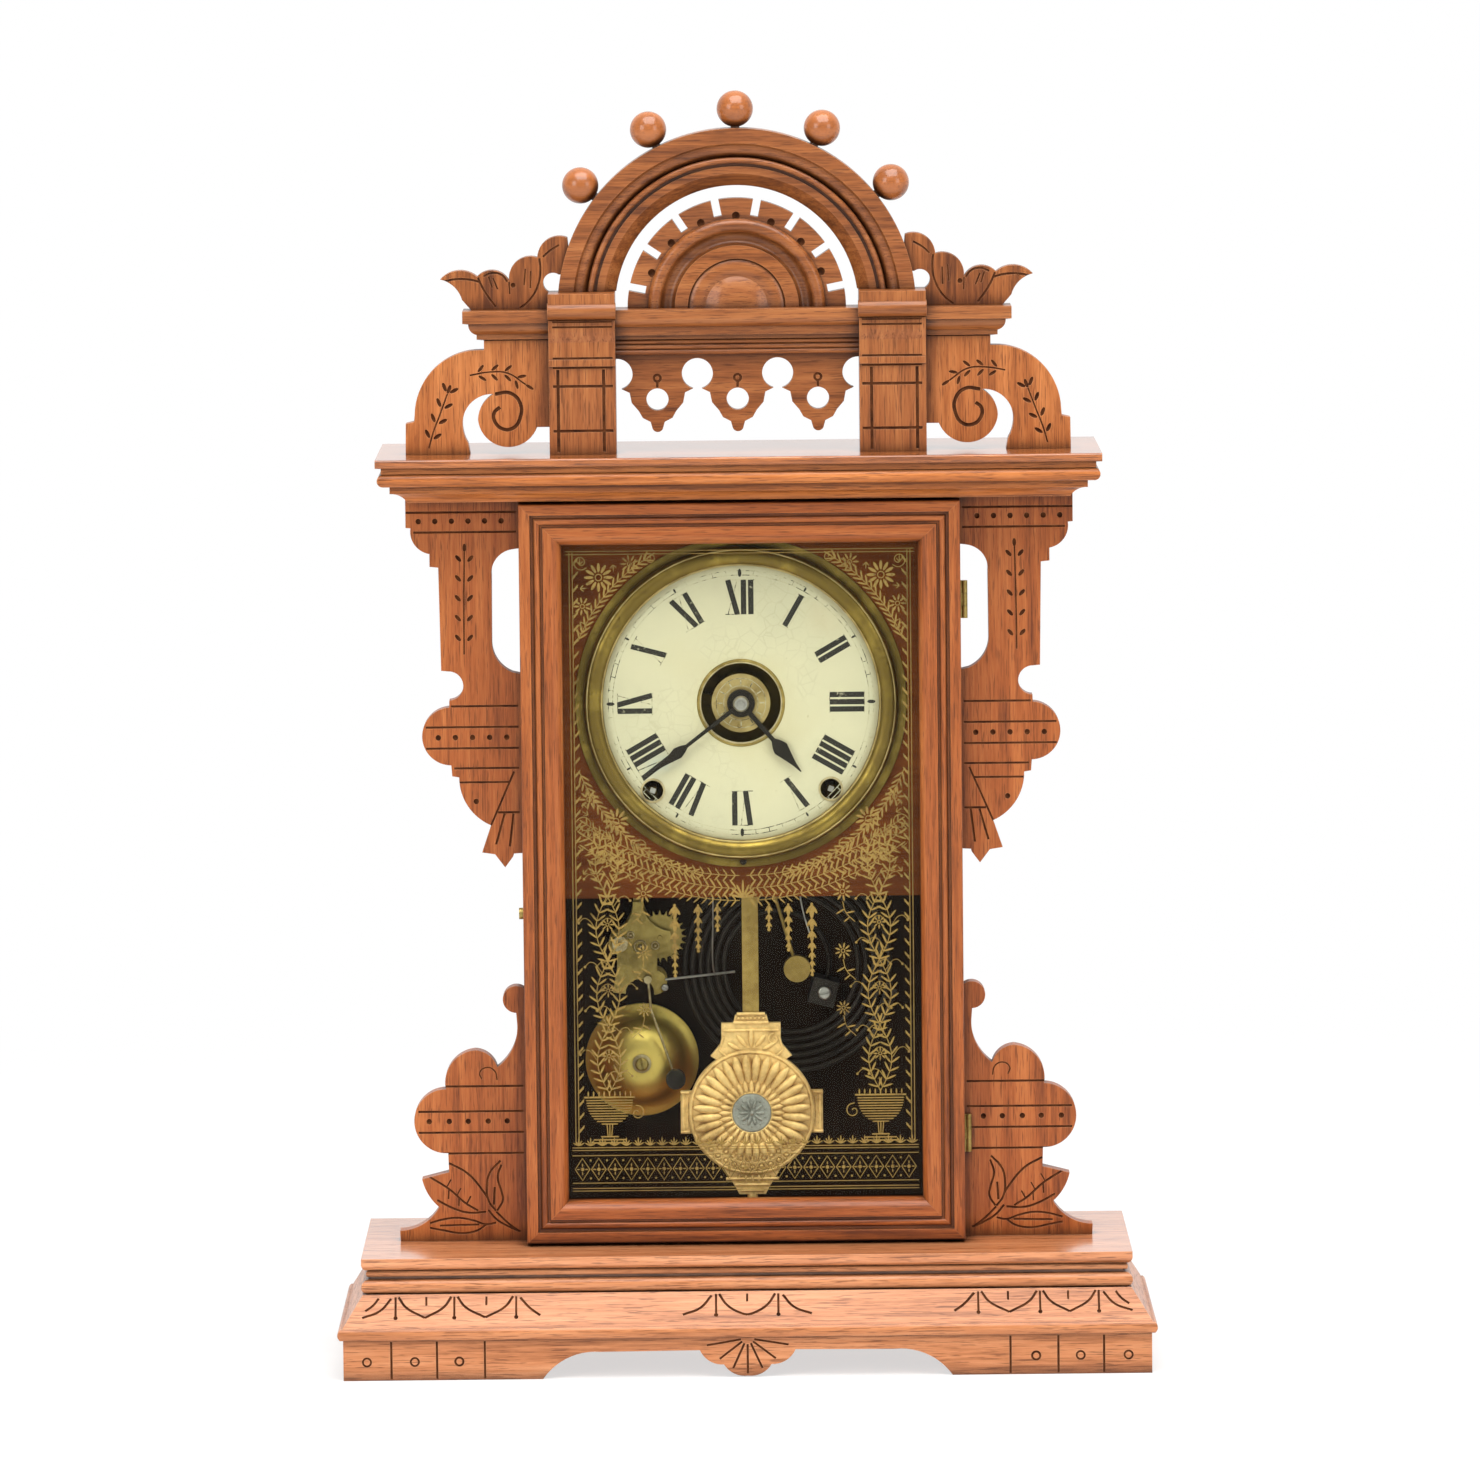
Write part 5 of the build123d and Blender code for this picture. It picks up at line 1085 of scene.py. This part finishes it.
def slotted_screw(name, x, y, z, radius, turn, material):
    """A low round screw head on a face that looks forward, its slot turned from level."""
    bm = bmesh.new()
    height = radius * SCREW_HEIGHT * MM
    bmesh.ops.create_cone(
        bm, cap_ends=True, segments=24, radius1=radius * MM, radius2=radius * MM, depth=height
    )
    top = [edge for edge in bm.edges if all(vert.co.z > 0 for vert in edge.verts)]
    ease(bm, top, radius * SCREW_ROUND, 3)
    half = radius * SLOT_HALF * MM
    for side in BOTH_SIDES:
        whole = bm.verts[:] + bm.edges[:] + bm.faces[:]
        bmesh.ops.bisect_plane(bm, geom=whole, plane_co=(0, side * half, 0), plane_no=(0, 1, 0))
    bm.normal_update()
    strip = [
        face for face in bm.faces
        if face.normal.z > 0.9 and abs(face.calc_center_median().y) < half * 0.9
    ]
    sunk = bmesh.ops.extrude_face_region(bm, geom=strip)["geom"]
    floor = [part for part in sunk if isinstance(part, bmesh.types.BMVert)]
    bmesh.ops.translate(bm, vec=(0, 0, -height * 0.5), verts=floor)
    bmesh.ops.delete(bm, geom=[face for face in strip if face.is_valid], context="FACES")
    stand = Matrix.Rotation(math.radians(turn), 4, "Y") @ Matrix.Rotation(math.pi / 2, 4, "X")
    bmesh.ops.transform(bm, matrix=stand, verts=bm.verts)
    bmesh.ops.translate(bm, vec=(x * MM, y * MM - height / 2, z * MM), verts=bm.verts)
    return piece(name, bm, "case", material)


def arbor_end(name, side, body):
    """The bright square end of a winding arbor, its corners eased, inside its hole in the dial."""
    x = side * (half_width_of("winding_grommets") - GROMMET_RADIUS)
    y = front_y("time_great_wheel")
    z = middle_of("winding_grommets")[1]
    bm = bmesh.new()
    bmesh.ops.create_cube(bm, size=1.0)
    bmesh.ops.scale(bm, vec=(ARBOR_SQUARE * MM, ARBOR_STUB * MM, ARBOR_SQUARE * MM), verts=bm.verts)
    ease(bm, bm.edges[:], 0.4, 2)
    bmesh.ops.rotate(bm, matrix=Matrix.Rotation(ARBOR_TURN, 3, "Y"), verts=bm.verts)
    bmesh.ops.translate(bm, vec=(x * MM, (y - ARBOR_STAND) * MM, z * MM), verts=bm.verts)
    return piece(name, bm, body, bright_steel)


def bent_wire(name, points, half_width, depth_at):
    """A stiff wire through points in X and Z."""
    wire = Strokes(depth_at, rounds=2)
    wire.line(points, half_width)
    return piece(name, wire.result(), "case", bright_steel)


def ring_bezel():
    """A fine bright ring at the bezel's inner edge and another by its flange, in brighter brass than the
    bezel, partly painted highlights.
    """
    front = front_of("dial_bezel")
    for name, inset, half_width in (("bezel_inner_ring", 11.9, 0.55), ("bezel_outer_ring", 5.2, 0.5)):
        radius = half_width_of("dial_bezel") - inset
        rounded_ring(name, front(0, dial_z - radius), radius, half_width, disc_brass)


def pin_alarm_plate():
    """Pivot ends and their bushes on the alarm's front plate."""
    pins = Strokes(front_of("alarm_frame"), rounds=1)
    for x, z, bush, pin in ((-47.3, 182.0, 2.7, 1.1), (-40.4, 182.4, 1.6, 0.8), (-51.6, 187.4, 1.4, 0.8)):
        pins.ring(x, z, bush, BUSH_RIM)
        pins.dot(x, z, pin)
    piece("alarm_plate_pivots", pins.result(), "case", pale_brass)


def bead_shelf():
    """A round bead in the hollow under the shelf, along its front and both ends."""
    low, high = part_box("base_board")
    reach = high.x - SHELF_HOLLOW * MM
    front = low.y + SHELF_HOLLOW * MM
    height = low.z + SHELF_BEAD_LIFT * MM
    bead = Strokes(level(0.0), rounds=3)
    run = bead.curve.splines.new("POLY")
    run.points.add(3)
    corners = ((-reach, high.y), (-reach, front), (reach, front), (reach, high.y))
    for place, (x, y) in zip(run.points, corners):
        place.co = (x, y, height, 1.0)
        place.radius = SHELF_BEAD
    piece("shelf_bead", bead.result(), "case", walnut_base)


def bead_posts():
    """A round bead under the top band of each post's cap, a little wider than the post."""
    low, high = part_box("crest_posts")
    length = POST_WIDTH + 0.8
    bm = bmesh.new()
    y = low.y / MM + CAP_BEAD_BACK
    z = high.z / MM - CAP_BEAD_DROP
    for side in BOTH_SIDES:
        centre = Vector((side * (high.x / MM - POST_WIDTH / 2), y, z)) * MM
        bmesh.ops.create_cone(
            bm, cap_ends=True, segments=40, radius1=CAP_BEAD * MM, radius2=CAP_BEAD * MM, depth=length * MM,
            matrix=Matrix.Translation(centre) @ Matrix.Rotation(math.pi / 2, 4, "Y")
        )
    rims = [edge for edge in bm.edges if abs(edge.verts[0].co.x - edge.verts[1].co.x) < WELD]
    ease(bm, rims, 0.35, 2)
    piece("post_cap_beads", bm, "case", walnut_crest)


def mark_alarm_disc():
    """Two fine rings and twelve hour strokes on the alarm disc."""
    marks = Strokes(level(front_y("alarm_disc") - DISC_LIFT), squash=PRINT_SQUASH)
    for radius in (DISC_MARKS, DISC_MARKS - 3.4):
        marks.line([on_dial(radius, step * 45) for step in range(8)], DISC_RING, closed=True)
    for hour in range(12):
        stroke = [on_dial(DISC_MARKS - inset, hour * 30) for inset in (2.8, 0.6)]
        marks.line(stroke, DISC_STROKE)
    piece("alarm_disc_marks", marks.result(), "alarm_disc", faint_ink)


def add_metalwork():
    """Rings of the dial opening, beads, screws, and the wires that trip the alarm and the strike."""
    # Painted shade and highlight: the opening's lip is in darker brass and its rim edge in paler brass
    rounded_ring("dial_opening_lip", dial_face_y + 0.2, LIP_RADIUS, LIP_HALF, plate_brass)
    rounded_ring("dial_opening_edge", dial_face_y - 0.5, EDGE_RADIUS, EDGE_HALF, pale_brass)
    mark_alarm_disc()
    ring_bezel()
    pin_alarm_plate()
    bead_shelf()
    bead_posts()
    arbor_end("time_arbor_end", 1, "time_winding")
    arbor_end("strike_arbor_end", -1, "strike_winding")
    plate_y = front_y("alarm_frame")
    flange_y = front_y("dial_board") - 0.8
    slotted_screw("bell_screw", bell_x, front_y("bell_post"), bell_z, 3.1, 78, plate_brass)
    slotted_screw("gong_screw", 36.9, front_y("gong_base"), 159.6, 3.2, -12, bright_steel)
    slotted_screw("bezel_screw", 0.3, flange_y, dial_z - 72.6, 1.5, 0, black_steel)
    slotted_screw("alarm_plate_screw", -36.2, plate_y, 163.0, 1.6, 30, bright_steel)
    front = front_y("movement_frame") + 3.0
    lean = (plate_y - 1.6 - front) / (WIRE_TOP - WIRE_FOOT)
    lever = [(-36.0, 166.8), (-20.0, 168.4), (-4.0, 170.1)]
    alarm_wire = [(-14.3, WIRE_TOP), (-13.7, 203.0), (-14.0, 172.0), (-13.2, 168.6)]
    strike_wire = [(23.6, WIRE_TOP), (25.2, 214.0), (27.4, 200.0), (30.8, 188.6)]
    bent_wire("alarm_trip_lever", lever, LEVER_HALF, level(plate_y - 0.6))
    bent_wire("alarm_trip_wire", alarm_wire, WIRE_HALF, lambda x, z: front + (WIRE_TOP - z) * lean)
    bent_wire("strike_trip_wire", strike_wire, WIRE_HALF, level(front + 1.4))


add_metalwork()


# Gilt ornament on the back of the glass
GILT_SQUASH = 0.05
GILT_LIFT = 0.06
SIGHT_X = 78.5
SIGHT_HIGH = 369.5
HAIR_LINE = 0.19
STEM_LINE = 0.18
VINE_LINE = 0.2
TENDRIL_LINE = 0.16
CURL_LINE = 0.22
BEZEL_CLEAR = 79.0
BAND_Z = 87.3
BAND_PITCH = 7.4


def daisy(art, x, z, radius, petals):
    """A flower of pointed petals round an open eye."""
    for step in range(petals):
        angle = 360 * step / petals
        art.leaf(*on_circle(x, z, radius * 0.34, angle), angle, radius * 0.66, radius * 0.24)
    art.ring(x, z, radius * 0.22, HAIR_LINE)


def trefoil(art, x, z, angle, size):
    """Three narrow leaves from one foot."""
    for lean, length in ((-40, 0.85), (0, 1.2), (40, 0.85)):
        art.leaf(x, z, angle + lean, size * length, size * 0.19)


def curl(art, x, z, radius, start, turns, half_width):
    """A spiral tendril that winds in to its eye."""
    count = int(turns * 8) + 1
    points = []
    for step in range(count):
        share = step / (count - 1)
        points.append(on_circle(x, z, radius * (1 - 0.86 * share), start + 360 * turns * share))
    art.line(points, half_width)


def husks(art, x, top, count, size):
    """A hanging chain of bell husks that grow smaller."""
    z = top
    for step in range(count):
        scale = size * (1 - 0.09 * step)
        art.leaf(x, z, -90, scale * 1.5, scale * 0.62)
        art.leaf(x, z, -58, scale * 1.15, scale * 0.42)
        art.leaf(x, z, -122, scale * 1.15, scale * 0.42)
        art.dot(x, z + scale * 0.12, scale * 0.16)
        z -= scale * 1.55
    art.dot(x, z, 0.8)


def gild_foot(art):
    """Lozenge band between double lines, with a row of small fans over it."""
    for z in (77.4, 78.6, 81.0, 93.6, 96.0, 97.2):
        art.bar(0.0, z, SIGHT_X, HAIR_LINE)
    for step in range(-10, 11):
        x = step * BAND_PITCH
        lozenge = [(x - 3.3, BAND_Z), (x, 92.4), (x + 3.3, BAND_Z), (x, 82.2)]
        art.line(lozenge, 0.24, closed=True, straight=True)
        art.dot(x, BAND_Z, 0.85)
        for angle in (0, 90, 180, 270):
            art.leaf(*on_circle(x, BAND_Z, 1.1, angle), angle, 1.6, 0.62)
        if step < 10:
            art.dot(x + BAND_PITCH / 2, 91.4, 0.5)
            art.dot(x + BAND_PITCH / 2, 83.2, 0.5)
    for step in range(-14, 15):
        for angle in (30, 60, 90, 120, 150):
            art.leaf(step * 5.4, 98.0, angle, 3.9 if angle == 90 else 3.0, 0.7)


def gild_vine(art, x, low, high, phase):
    """A winding stem with narrow leaves, berries on tendrils at every other bend."""
    stem = [(x + 5.2 * math.sin((z - low) / 30 * math.pi + phase), z) for z in range(low, high, 5)]
    art.sprig(stem, 4.9, 1.05, 3.9, VINE_LINE, 46)
    for number, (stem_x, z) in enumerate(stem[1::2]):
        swing = 1 if number % 2 else -1
        tendril = [(stem_x, z), (stem_x + swing * 5.0, z + 5.0), (stem_x + swing * 7.6, z + 3.2)]
        art.line(tendril, TENDRIL_LINE)
        art.dot(stem_x + swing * 7.8, z + 2.8, 0.62)


def gild_bowl(art, x):
    """A footed bowl drawn in level lines, with a curled handle on its inner side."""
    for z, half in ((99.4, 8.4), (100.8, 7.2), (102.2, 4.0)):
        art.bar(x, z, half, 0.3)
    for offset in (-0.8, 0.0, 0.8):
        art.line([(x + offset, 102.2), (x + offset * 1.6, 108.0)], 0.22)
    for lift in range(10):
        half = 10.5 * math.sqrt(max(0.0, 1 - ((9 - lift) / 9.6) ** 2))
        art.bar(x, 108.0 + lift * 1.2, half, 0.26)
    for step in range(-4, 5):
        art.leaf(x + step * 2.4, 120.4, 90, 2.6, 0.8)
    art.bar(x, 120.2, 11.6, 0.4)
    curl(art, x - 12.4, 113.0, 3.6, 80, 1.2, 0.24)


def gild_sides(art):
    """A bowl in each corner with two crossing vines above it, flowers and hanging husks beside them."""
    art.sides = BOTH_SIDES
    x = 61.4
    gild_bowl(art, x)
    gild_vine(art, x, 122, 240, 0.0)
    gild_vine(art, x, 122, 240, math.pi)
    for z in range(124, 240, 30):
        daisy(art, x, z + 15.0, 3.2, 8)
    for rail in (75.4, 76.8):
        art.upright(rail, 99.0, 368.0, HAIR_LINE)
    for z in range(104, 366, 6):
        art.leaf(75.2, z, 124, 4.2, 0.95)
        art.leaf(75.2, z + 1.2, 152, 2.6, 0.75)
    for z, radius in ((213.0, 4.4), (186.0, 3.8), (160.0, 3.4)):
        daisy(art, 45.0, z, radius, 9)
        foot = z - radius
        art.line([(45.0, foot), (46.4, foot - 5.0), (50.6, foot - 9.4)], STEM_LINE)
        art.leaf(45.8, foot - 3.6, -150, 4.4, 0.95)
        art.leaf(46.6, foot - 5.4, 12, 4.0, 0.9)
        art.leaf(48.2, foot - 7.2, -140, 3.6, 0.85)
    for husk_x, count, size in ((31.0, 7, 4.0), (20.4, 5, 3.2), (11.6, 3, 2.6)):
        husks(art, husk_x, 207.0, count, size)
    art.sides = ONE_SIDE


def gild_garland(art):
    """Leaf garlands across the foot of the dial board, with curls and flowers in the corners."""
    art.sides = BOTH_SIDES
    rows = ((0.0, 5.0, 1.05, 3.1), (5.6, 3.8, 0.8, 3.3), (-5.8, 3.6, 0.8, 3.6))
    for drop, leaf_length, leaf_width, pitch in rows:
        swag = []
        for step in range(13):
            share = step / 12
            swag.append((1.5 + 69.0 * share, 215.0 - drop + 24.0 * share * share))
        art.sprig(swag, leaf_length, leaf_width, pitch, STEM_LINE, 52)
    daisy(art, 57.0, 246.0, 6.0, 11)
    daisy(art, 69.0, 256.0, 4.6, 9)
    curl(art, 46.0, 234.6, 4.6, 200, 1.6, CURL_LINE)
    curl(art, 71.4, 244.4, 4.0, 20, 1.5, CURL_LINE)
    art.sides = ONE_SIDE
    for angle in (15, 40, 65, 90, 115, 140, 165):
        art.leaf(0.0, 210.6, angle, 8.4 if angle == 90 else 6.8, 1.2)


def gild_spandrels(art):
    """Laurel along the bezel, curled stems and flowers in the corners, small leaves strewn between."""
    art.sides = BOTH_SIDES
    laurel = [on_dial(BEZEL_CLEAR, angle) for angle in range(20, 168, 4)]
    inside = [(x, z) for x, z in laurel if x < SIGHT_X - 4.0 and z < SIGHT_HIGH - 3.0]
    upper = [place for place in inside if place[1] > dial_z]
    lower = [place for place in inside if place[1] < dial_z]
    for run in (upper[::-1], lower):
        art.sprig(run, 4.6, 0.95, 3.1, STEM_LINE, 34)
    flowers = ((63.6, 356.6, 6.6, 12), (71.0, 343.6, 4.2, 9), (49.6, 362.6, 4.2, 9))
    for x, z, radius, petals in flowers:
        daisy(art, x, z, radius, petals)
    for x, z, radius, start in ((71.6, 363.4, 3.6, 220), (40.4, 364.8, 3.0, -20), (72.2, 333.6, 3.0, 90)):
        curl(art, x, z, radius, start, 1.5, VINE_LINE)
    for row in range(27):
        z = 222.0 + row * 5.4
        for column in range(9):
            x = 32.0 + column * 5.0 + (row % 2) * 2.5
            clear = math.hypot(x, z - dial_z) > BEZEL_CLEAR + 5.0 and x < 73.4 and z < 366.0
            apart = all(math.hypot(x - fx, z - fz) > radius + 2.0 for fx, fz, radius, petals in flowers)
            if clear and apart:
                trefoil(art, x, z, (row * 137 + column * 61) % 360, 2.7)
    art.sides = ONE_SIDE
    for z in (368.4, 367.0):
        art.bar(0.0, z, SIGHT_X, HAIR_LINE)


def gild_tablet():
    """The whole gilt design, on the back of the door's glass."""
    glass_back_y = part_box("door_glass")[1].y / MM
    art = Strokes(level(glass_back_y + GILT_LIFT), squash=GILT_SQUASH)
    gild_foot(art)
    gild_sides(art)
    gild_garland(art)
    gild_spandrels(art)
    piece("tablet_gilding", art.result(), "door", gold_leaf)


gild_tablet()


# Pressed relief of the pendulum bob
PETALS = 32
INNER_PETALS = 28
MEDAL_PETALS = 10
BOB_CROWN = 2.6
bob_front = front_of("pendulum_bob")
bob_edge_y = front_y("pendulum_bob") + BOB_CROWN


def bob_face(x, z):
    """Y of the front of the bob at a point, or of its edge beside it."""
    return bob_front(x, z) or bob_edge_y


def on_bob(radius, angle):
    """Point at an angle up from +X about the medallion."""
    return on_circle(bob_x, bob_z, radius, angle)


def emboss_petals(art):
    """Two rings of petals round the medallion, with rows of scales below them."""
    for step in range(INNER_PETALS):
        angle = 360 * step / INNER_PETALS
        art.leaf(*on_bob(9.2, angle), angle, 6.0, 2.4)
    for step in range(PETALS):
        angle = 360 * (step + 0.5) / PETALS
        short = math.sin(math.radians(angle)) < -0.62
        art.leaf(*on_bob(13.6, angle), angle, 8.0 if short else 13.4, 3.6 if short else 4.5)
        if not short:
            art.dot(*on_bob(24.4, angle), 1.8)
    for row, (radius, size) in enumerate(((21.4, 1.9), (25.0, 1.8))):
        for step in range(12):
            angle = -143 + step * 106 / 11 + row * 4.8
            art.ring(*on_bob(radius, angle), size, 0.55)
            art.dot(*on_bob(radius, angle), 1.0)
    for radius, half in ((9.3, 0.4), (14.9, 0.45), (27.6, 0.8)):
        art.ring(bob_x, bob_z, radius, half)


def emboss_frame(art):
    """Brackets at the bob's sides, a leafy neck with one curl above, and a stepped foot below."""
    for side in (-1, 1):
        edge = bob_x + side * 31.2
        art.upright(edge, bob_z - 8.6, bob_z + 8.6, 0.8)
        art.upright(edge - side * 2.0, bob_z - 7.0, bob_z + 7.0, 0.5)
        for lift in (-9.0, 9.0):
            art.line([(edge - side * 2.8, bob_z + lift), (edge + side * 1.2, bob_z + lift)], 0.8)
        art.leaf(bob_x + side * 2.0, bob_z + 30.0, 90 - side * 40, 7.0, 2.4)
        art.leaf(bob_x + side * 5.0, bob_z + 28.6, 90 - side * 62, 6.6, 2.2)
        shoulder = [on_bob(28.4, 90 - side * 24), on_bob(32.0, 90 - side * 27), on_bob(37.0, 90 - side * 20)]
        art.line(shoulder, 0.6, straight=True)
    curl(art, bob_x + 10.4, bob_z + 33.4, 2.8, 90, 1.3, 0.55)
    art.leaf(bob_x, bob_z + 29.6, 90, 9.0, 2.8)
    for step in range(-3, 4):
        art.dot(bob_x + step * 1.9, bob_z + 43.2, 0.8)
    for lift, half in ((37.6, 12.6), (41.2, 8.0), (45.2, 6.4)):
        art.bar(bob_x, bob_z + lift, half, 0.75)
    for lift, half in ((-30.6, 12.0), (-33.4, 7.8), (-36.0, 5.2)):
        art.bar(bob_x, bob_z + lift, half, 0.7)
    for step in range(-2, 3):
        art.leaf(bob_x + step * 3.0, bob_z - 28.6, -90, 3.8, 1.5)


def emboss_bob():
    """The pressed relief of the bob, and a small rosette on its medallion."""
    relief = Strokes(bob_face, rounds=2)
    relief.facets = (12, 8)
    emboss_petals(relief)
    emboss_frame(relief)
    piece("bob_relief", relief.result(), "pendulum", gilt)
    rosette = Strokes(front_of("bob_medallion"))
    rosette.facets = (10, 6)
    for step in range(MEDAL_PETALS):
        angle = 360 * step / MEDAL_PETALS
        rosette.leaf(*on_bob(1.8, angle), angle, 4.2, 1.7)
        rosette.dot(*on_bob(6.3, angle + 180 / MEDAL_PETALS), 0.5)
    rosette.dot(bob_x, bob_z, 1.3)
    piece("medallion_relief", rosette.result(), "pendulum", silver)


emboss_bob()


# Light, floor and camera
CAMERA_PLACE = Vector((0.0, -4.323, 0.7385))
CAMERA_AIM = Vector((0.0, -0.023, 0.2835))
CAMERA_LENS = 233.7
CAMERA_ROLL = math.radians(-0.6)
CAMERA_SHIFT = -0.0009
FLOOR_REACH = 40.0


def area_light(name, place, aim, size, power):
    lamp = bpy.data.lights.new(name, "AREA")
    lamp.shape = "RECTANGLE"
    lamp.size, lamp.size_y = size
    lamp.energy = power
    made = add_object(name, lamp)
    made.location = place
    made.rotation_euler = (Vector(aim) - Vector(place)).to_track_quat("-Z", "Y").to_euler()


def make_floor():
    """Pale paper floor, white to the camera, that keeps the soft shadow under the clock."""
    shade = Shade("studio_floor")
    grain = shade.noise(shade.place(), 40, 3, 0.6)
    tint = shade.ramp(grain, (0.3, (0.88, 0.88, 0.87)), (0.7, (0.92, 0.92, 0.91)))
    paper = shade.node("BsdfPrincipled", None, {
        "Base Color": tint,
        "Roughness": 0.9,
        "Specular IOR Level": 0.0,
    })
    white = shade.node("Emission", None, {"Color": (1.0, 1.0, 1.0), "Strength": 1.0})
    seen = shade.node("LightPath", out="Is Camera Ray")
    glossy = shade.node("LightPath", out="Is Glossy Ray")
    flat = shade.place((1, 1, 0))
    far = shade.node("VectorMath", {"operation": "LENGTH"}, {0: flat}, "Value").step(0.75, 0.9)
    shade.show(shade.blend(seen * (0.62 + far * 0.38) + glossy * 0.8, paper, white))
    bm = bmesh.new()
    bmesh.ops.create_grid(bm, x_segments=8, y_segments=8, size=FLOOR_REACH)
    mesh = to_mesh("studio_floor", bm)
    mesh.materials.append(shade.material)
    floor = add_object("studio_floor", mesh)


def make_world():
    """White to the camera, white behind the clock and dim before it in reflections, softer as a light."""
    shade = Shade("studio", bpy.data.worlds.new("studio"))
    scene.world = shade.material
    direction = shade.node("SeparateXYZ", None, {0: shade.node("TexCoord", out="Generated")}, "Y")
    white = shade.node("Background", None, {"Color": (1.0, 1.0, 1.0), "Strength": 1.0})
    dim = shade.node("Background", None, {"Color": (1.0, 0.98, 0.95), "Strength": 0.28})
    light = shade.node("Background", None, {"Color": (1.0, 0.99, 0.97), "Strength": 0.4})
    reflected = shade.blend(direction.step(0.1, 0.8), dim, white)
    lit = shade.blend(shade.node("LightPath", out="Is Glossy Ray"), light, reflected)
    seen = shade.node("LightPath", out="Is Camera Ray") + shade.node("LightPath", out="Is Transmission Ray")
    shade.show(shade.blend(seen, lit, white))


def make_camera():
    """The camera at the photograph's viewing angle."""
    camera = bpy.data.cameras.new("photo_view")
    camera.sensor_width = 36.0
    camera.lens = CAMERA_LENS
    camera.shift_x = CAMERA_SHIFT
    camera.clip_end = 120.0
    made = add_object("photo_view", camera)
    aim = (CAMERA_AIM - CAMERA_PLACE).to_track_quat("-Z", "Y")
    made.location = CAMERA_PLACE
    made.rotation_euler = (aim.to_matrix() @ Matrix.Rotation(CAMERA_ROLL, 3, "Z")).to_euler()
    scene.camera = made


make_floor()
make_world()
area_light("top_softbox", (0.2, -0.9, 2.6), (0, 0, 0.25), (2.6, 2.2), 108.0)
area_light("front_left", (-2.4, -2.8, 1.5), (0, 0, 0.3), (1.6, 1.8), 42.0)
area_light("front_right", (2.6, -2.6, 1.2), (0, 0, 0.3), (1.4, 1.6), 24.0)
make_camera()

scene.view_settings.view_transform = "Standard"
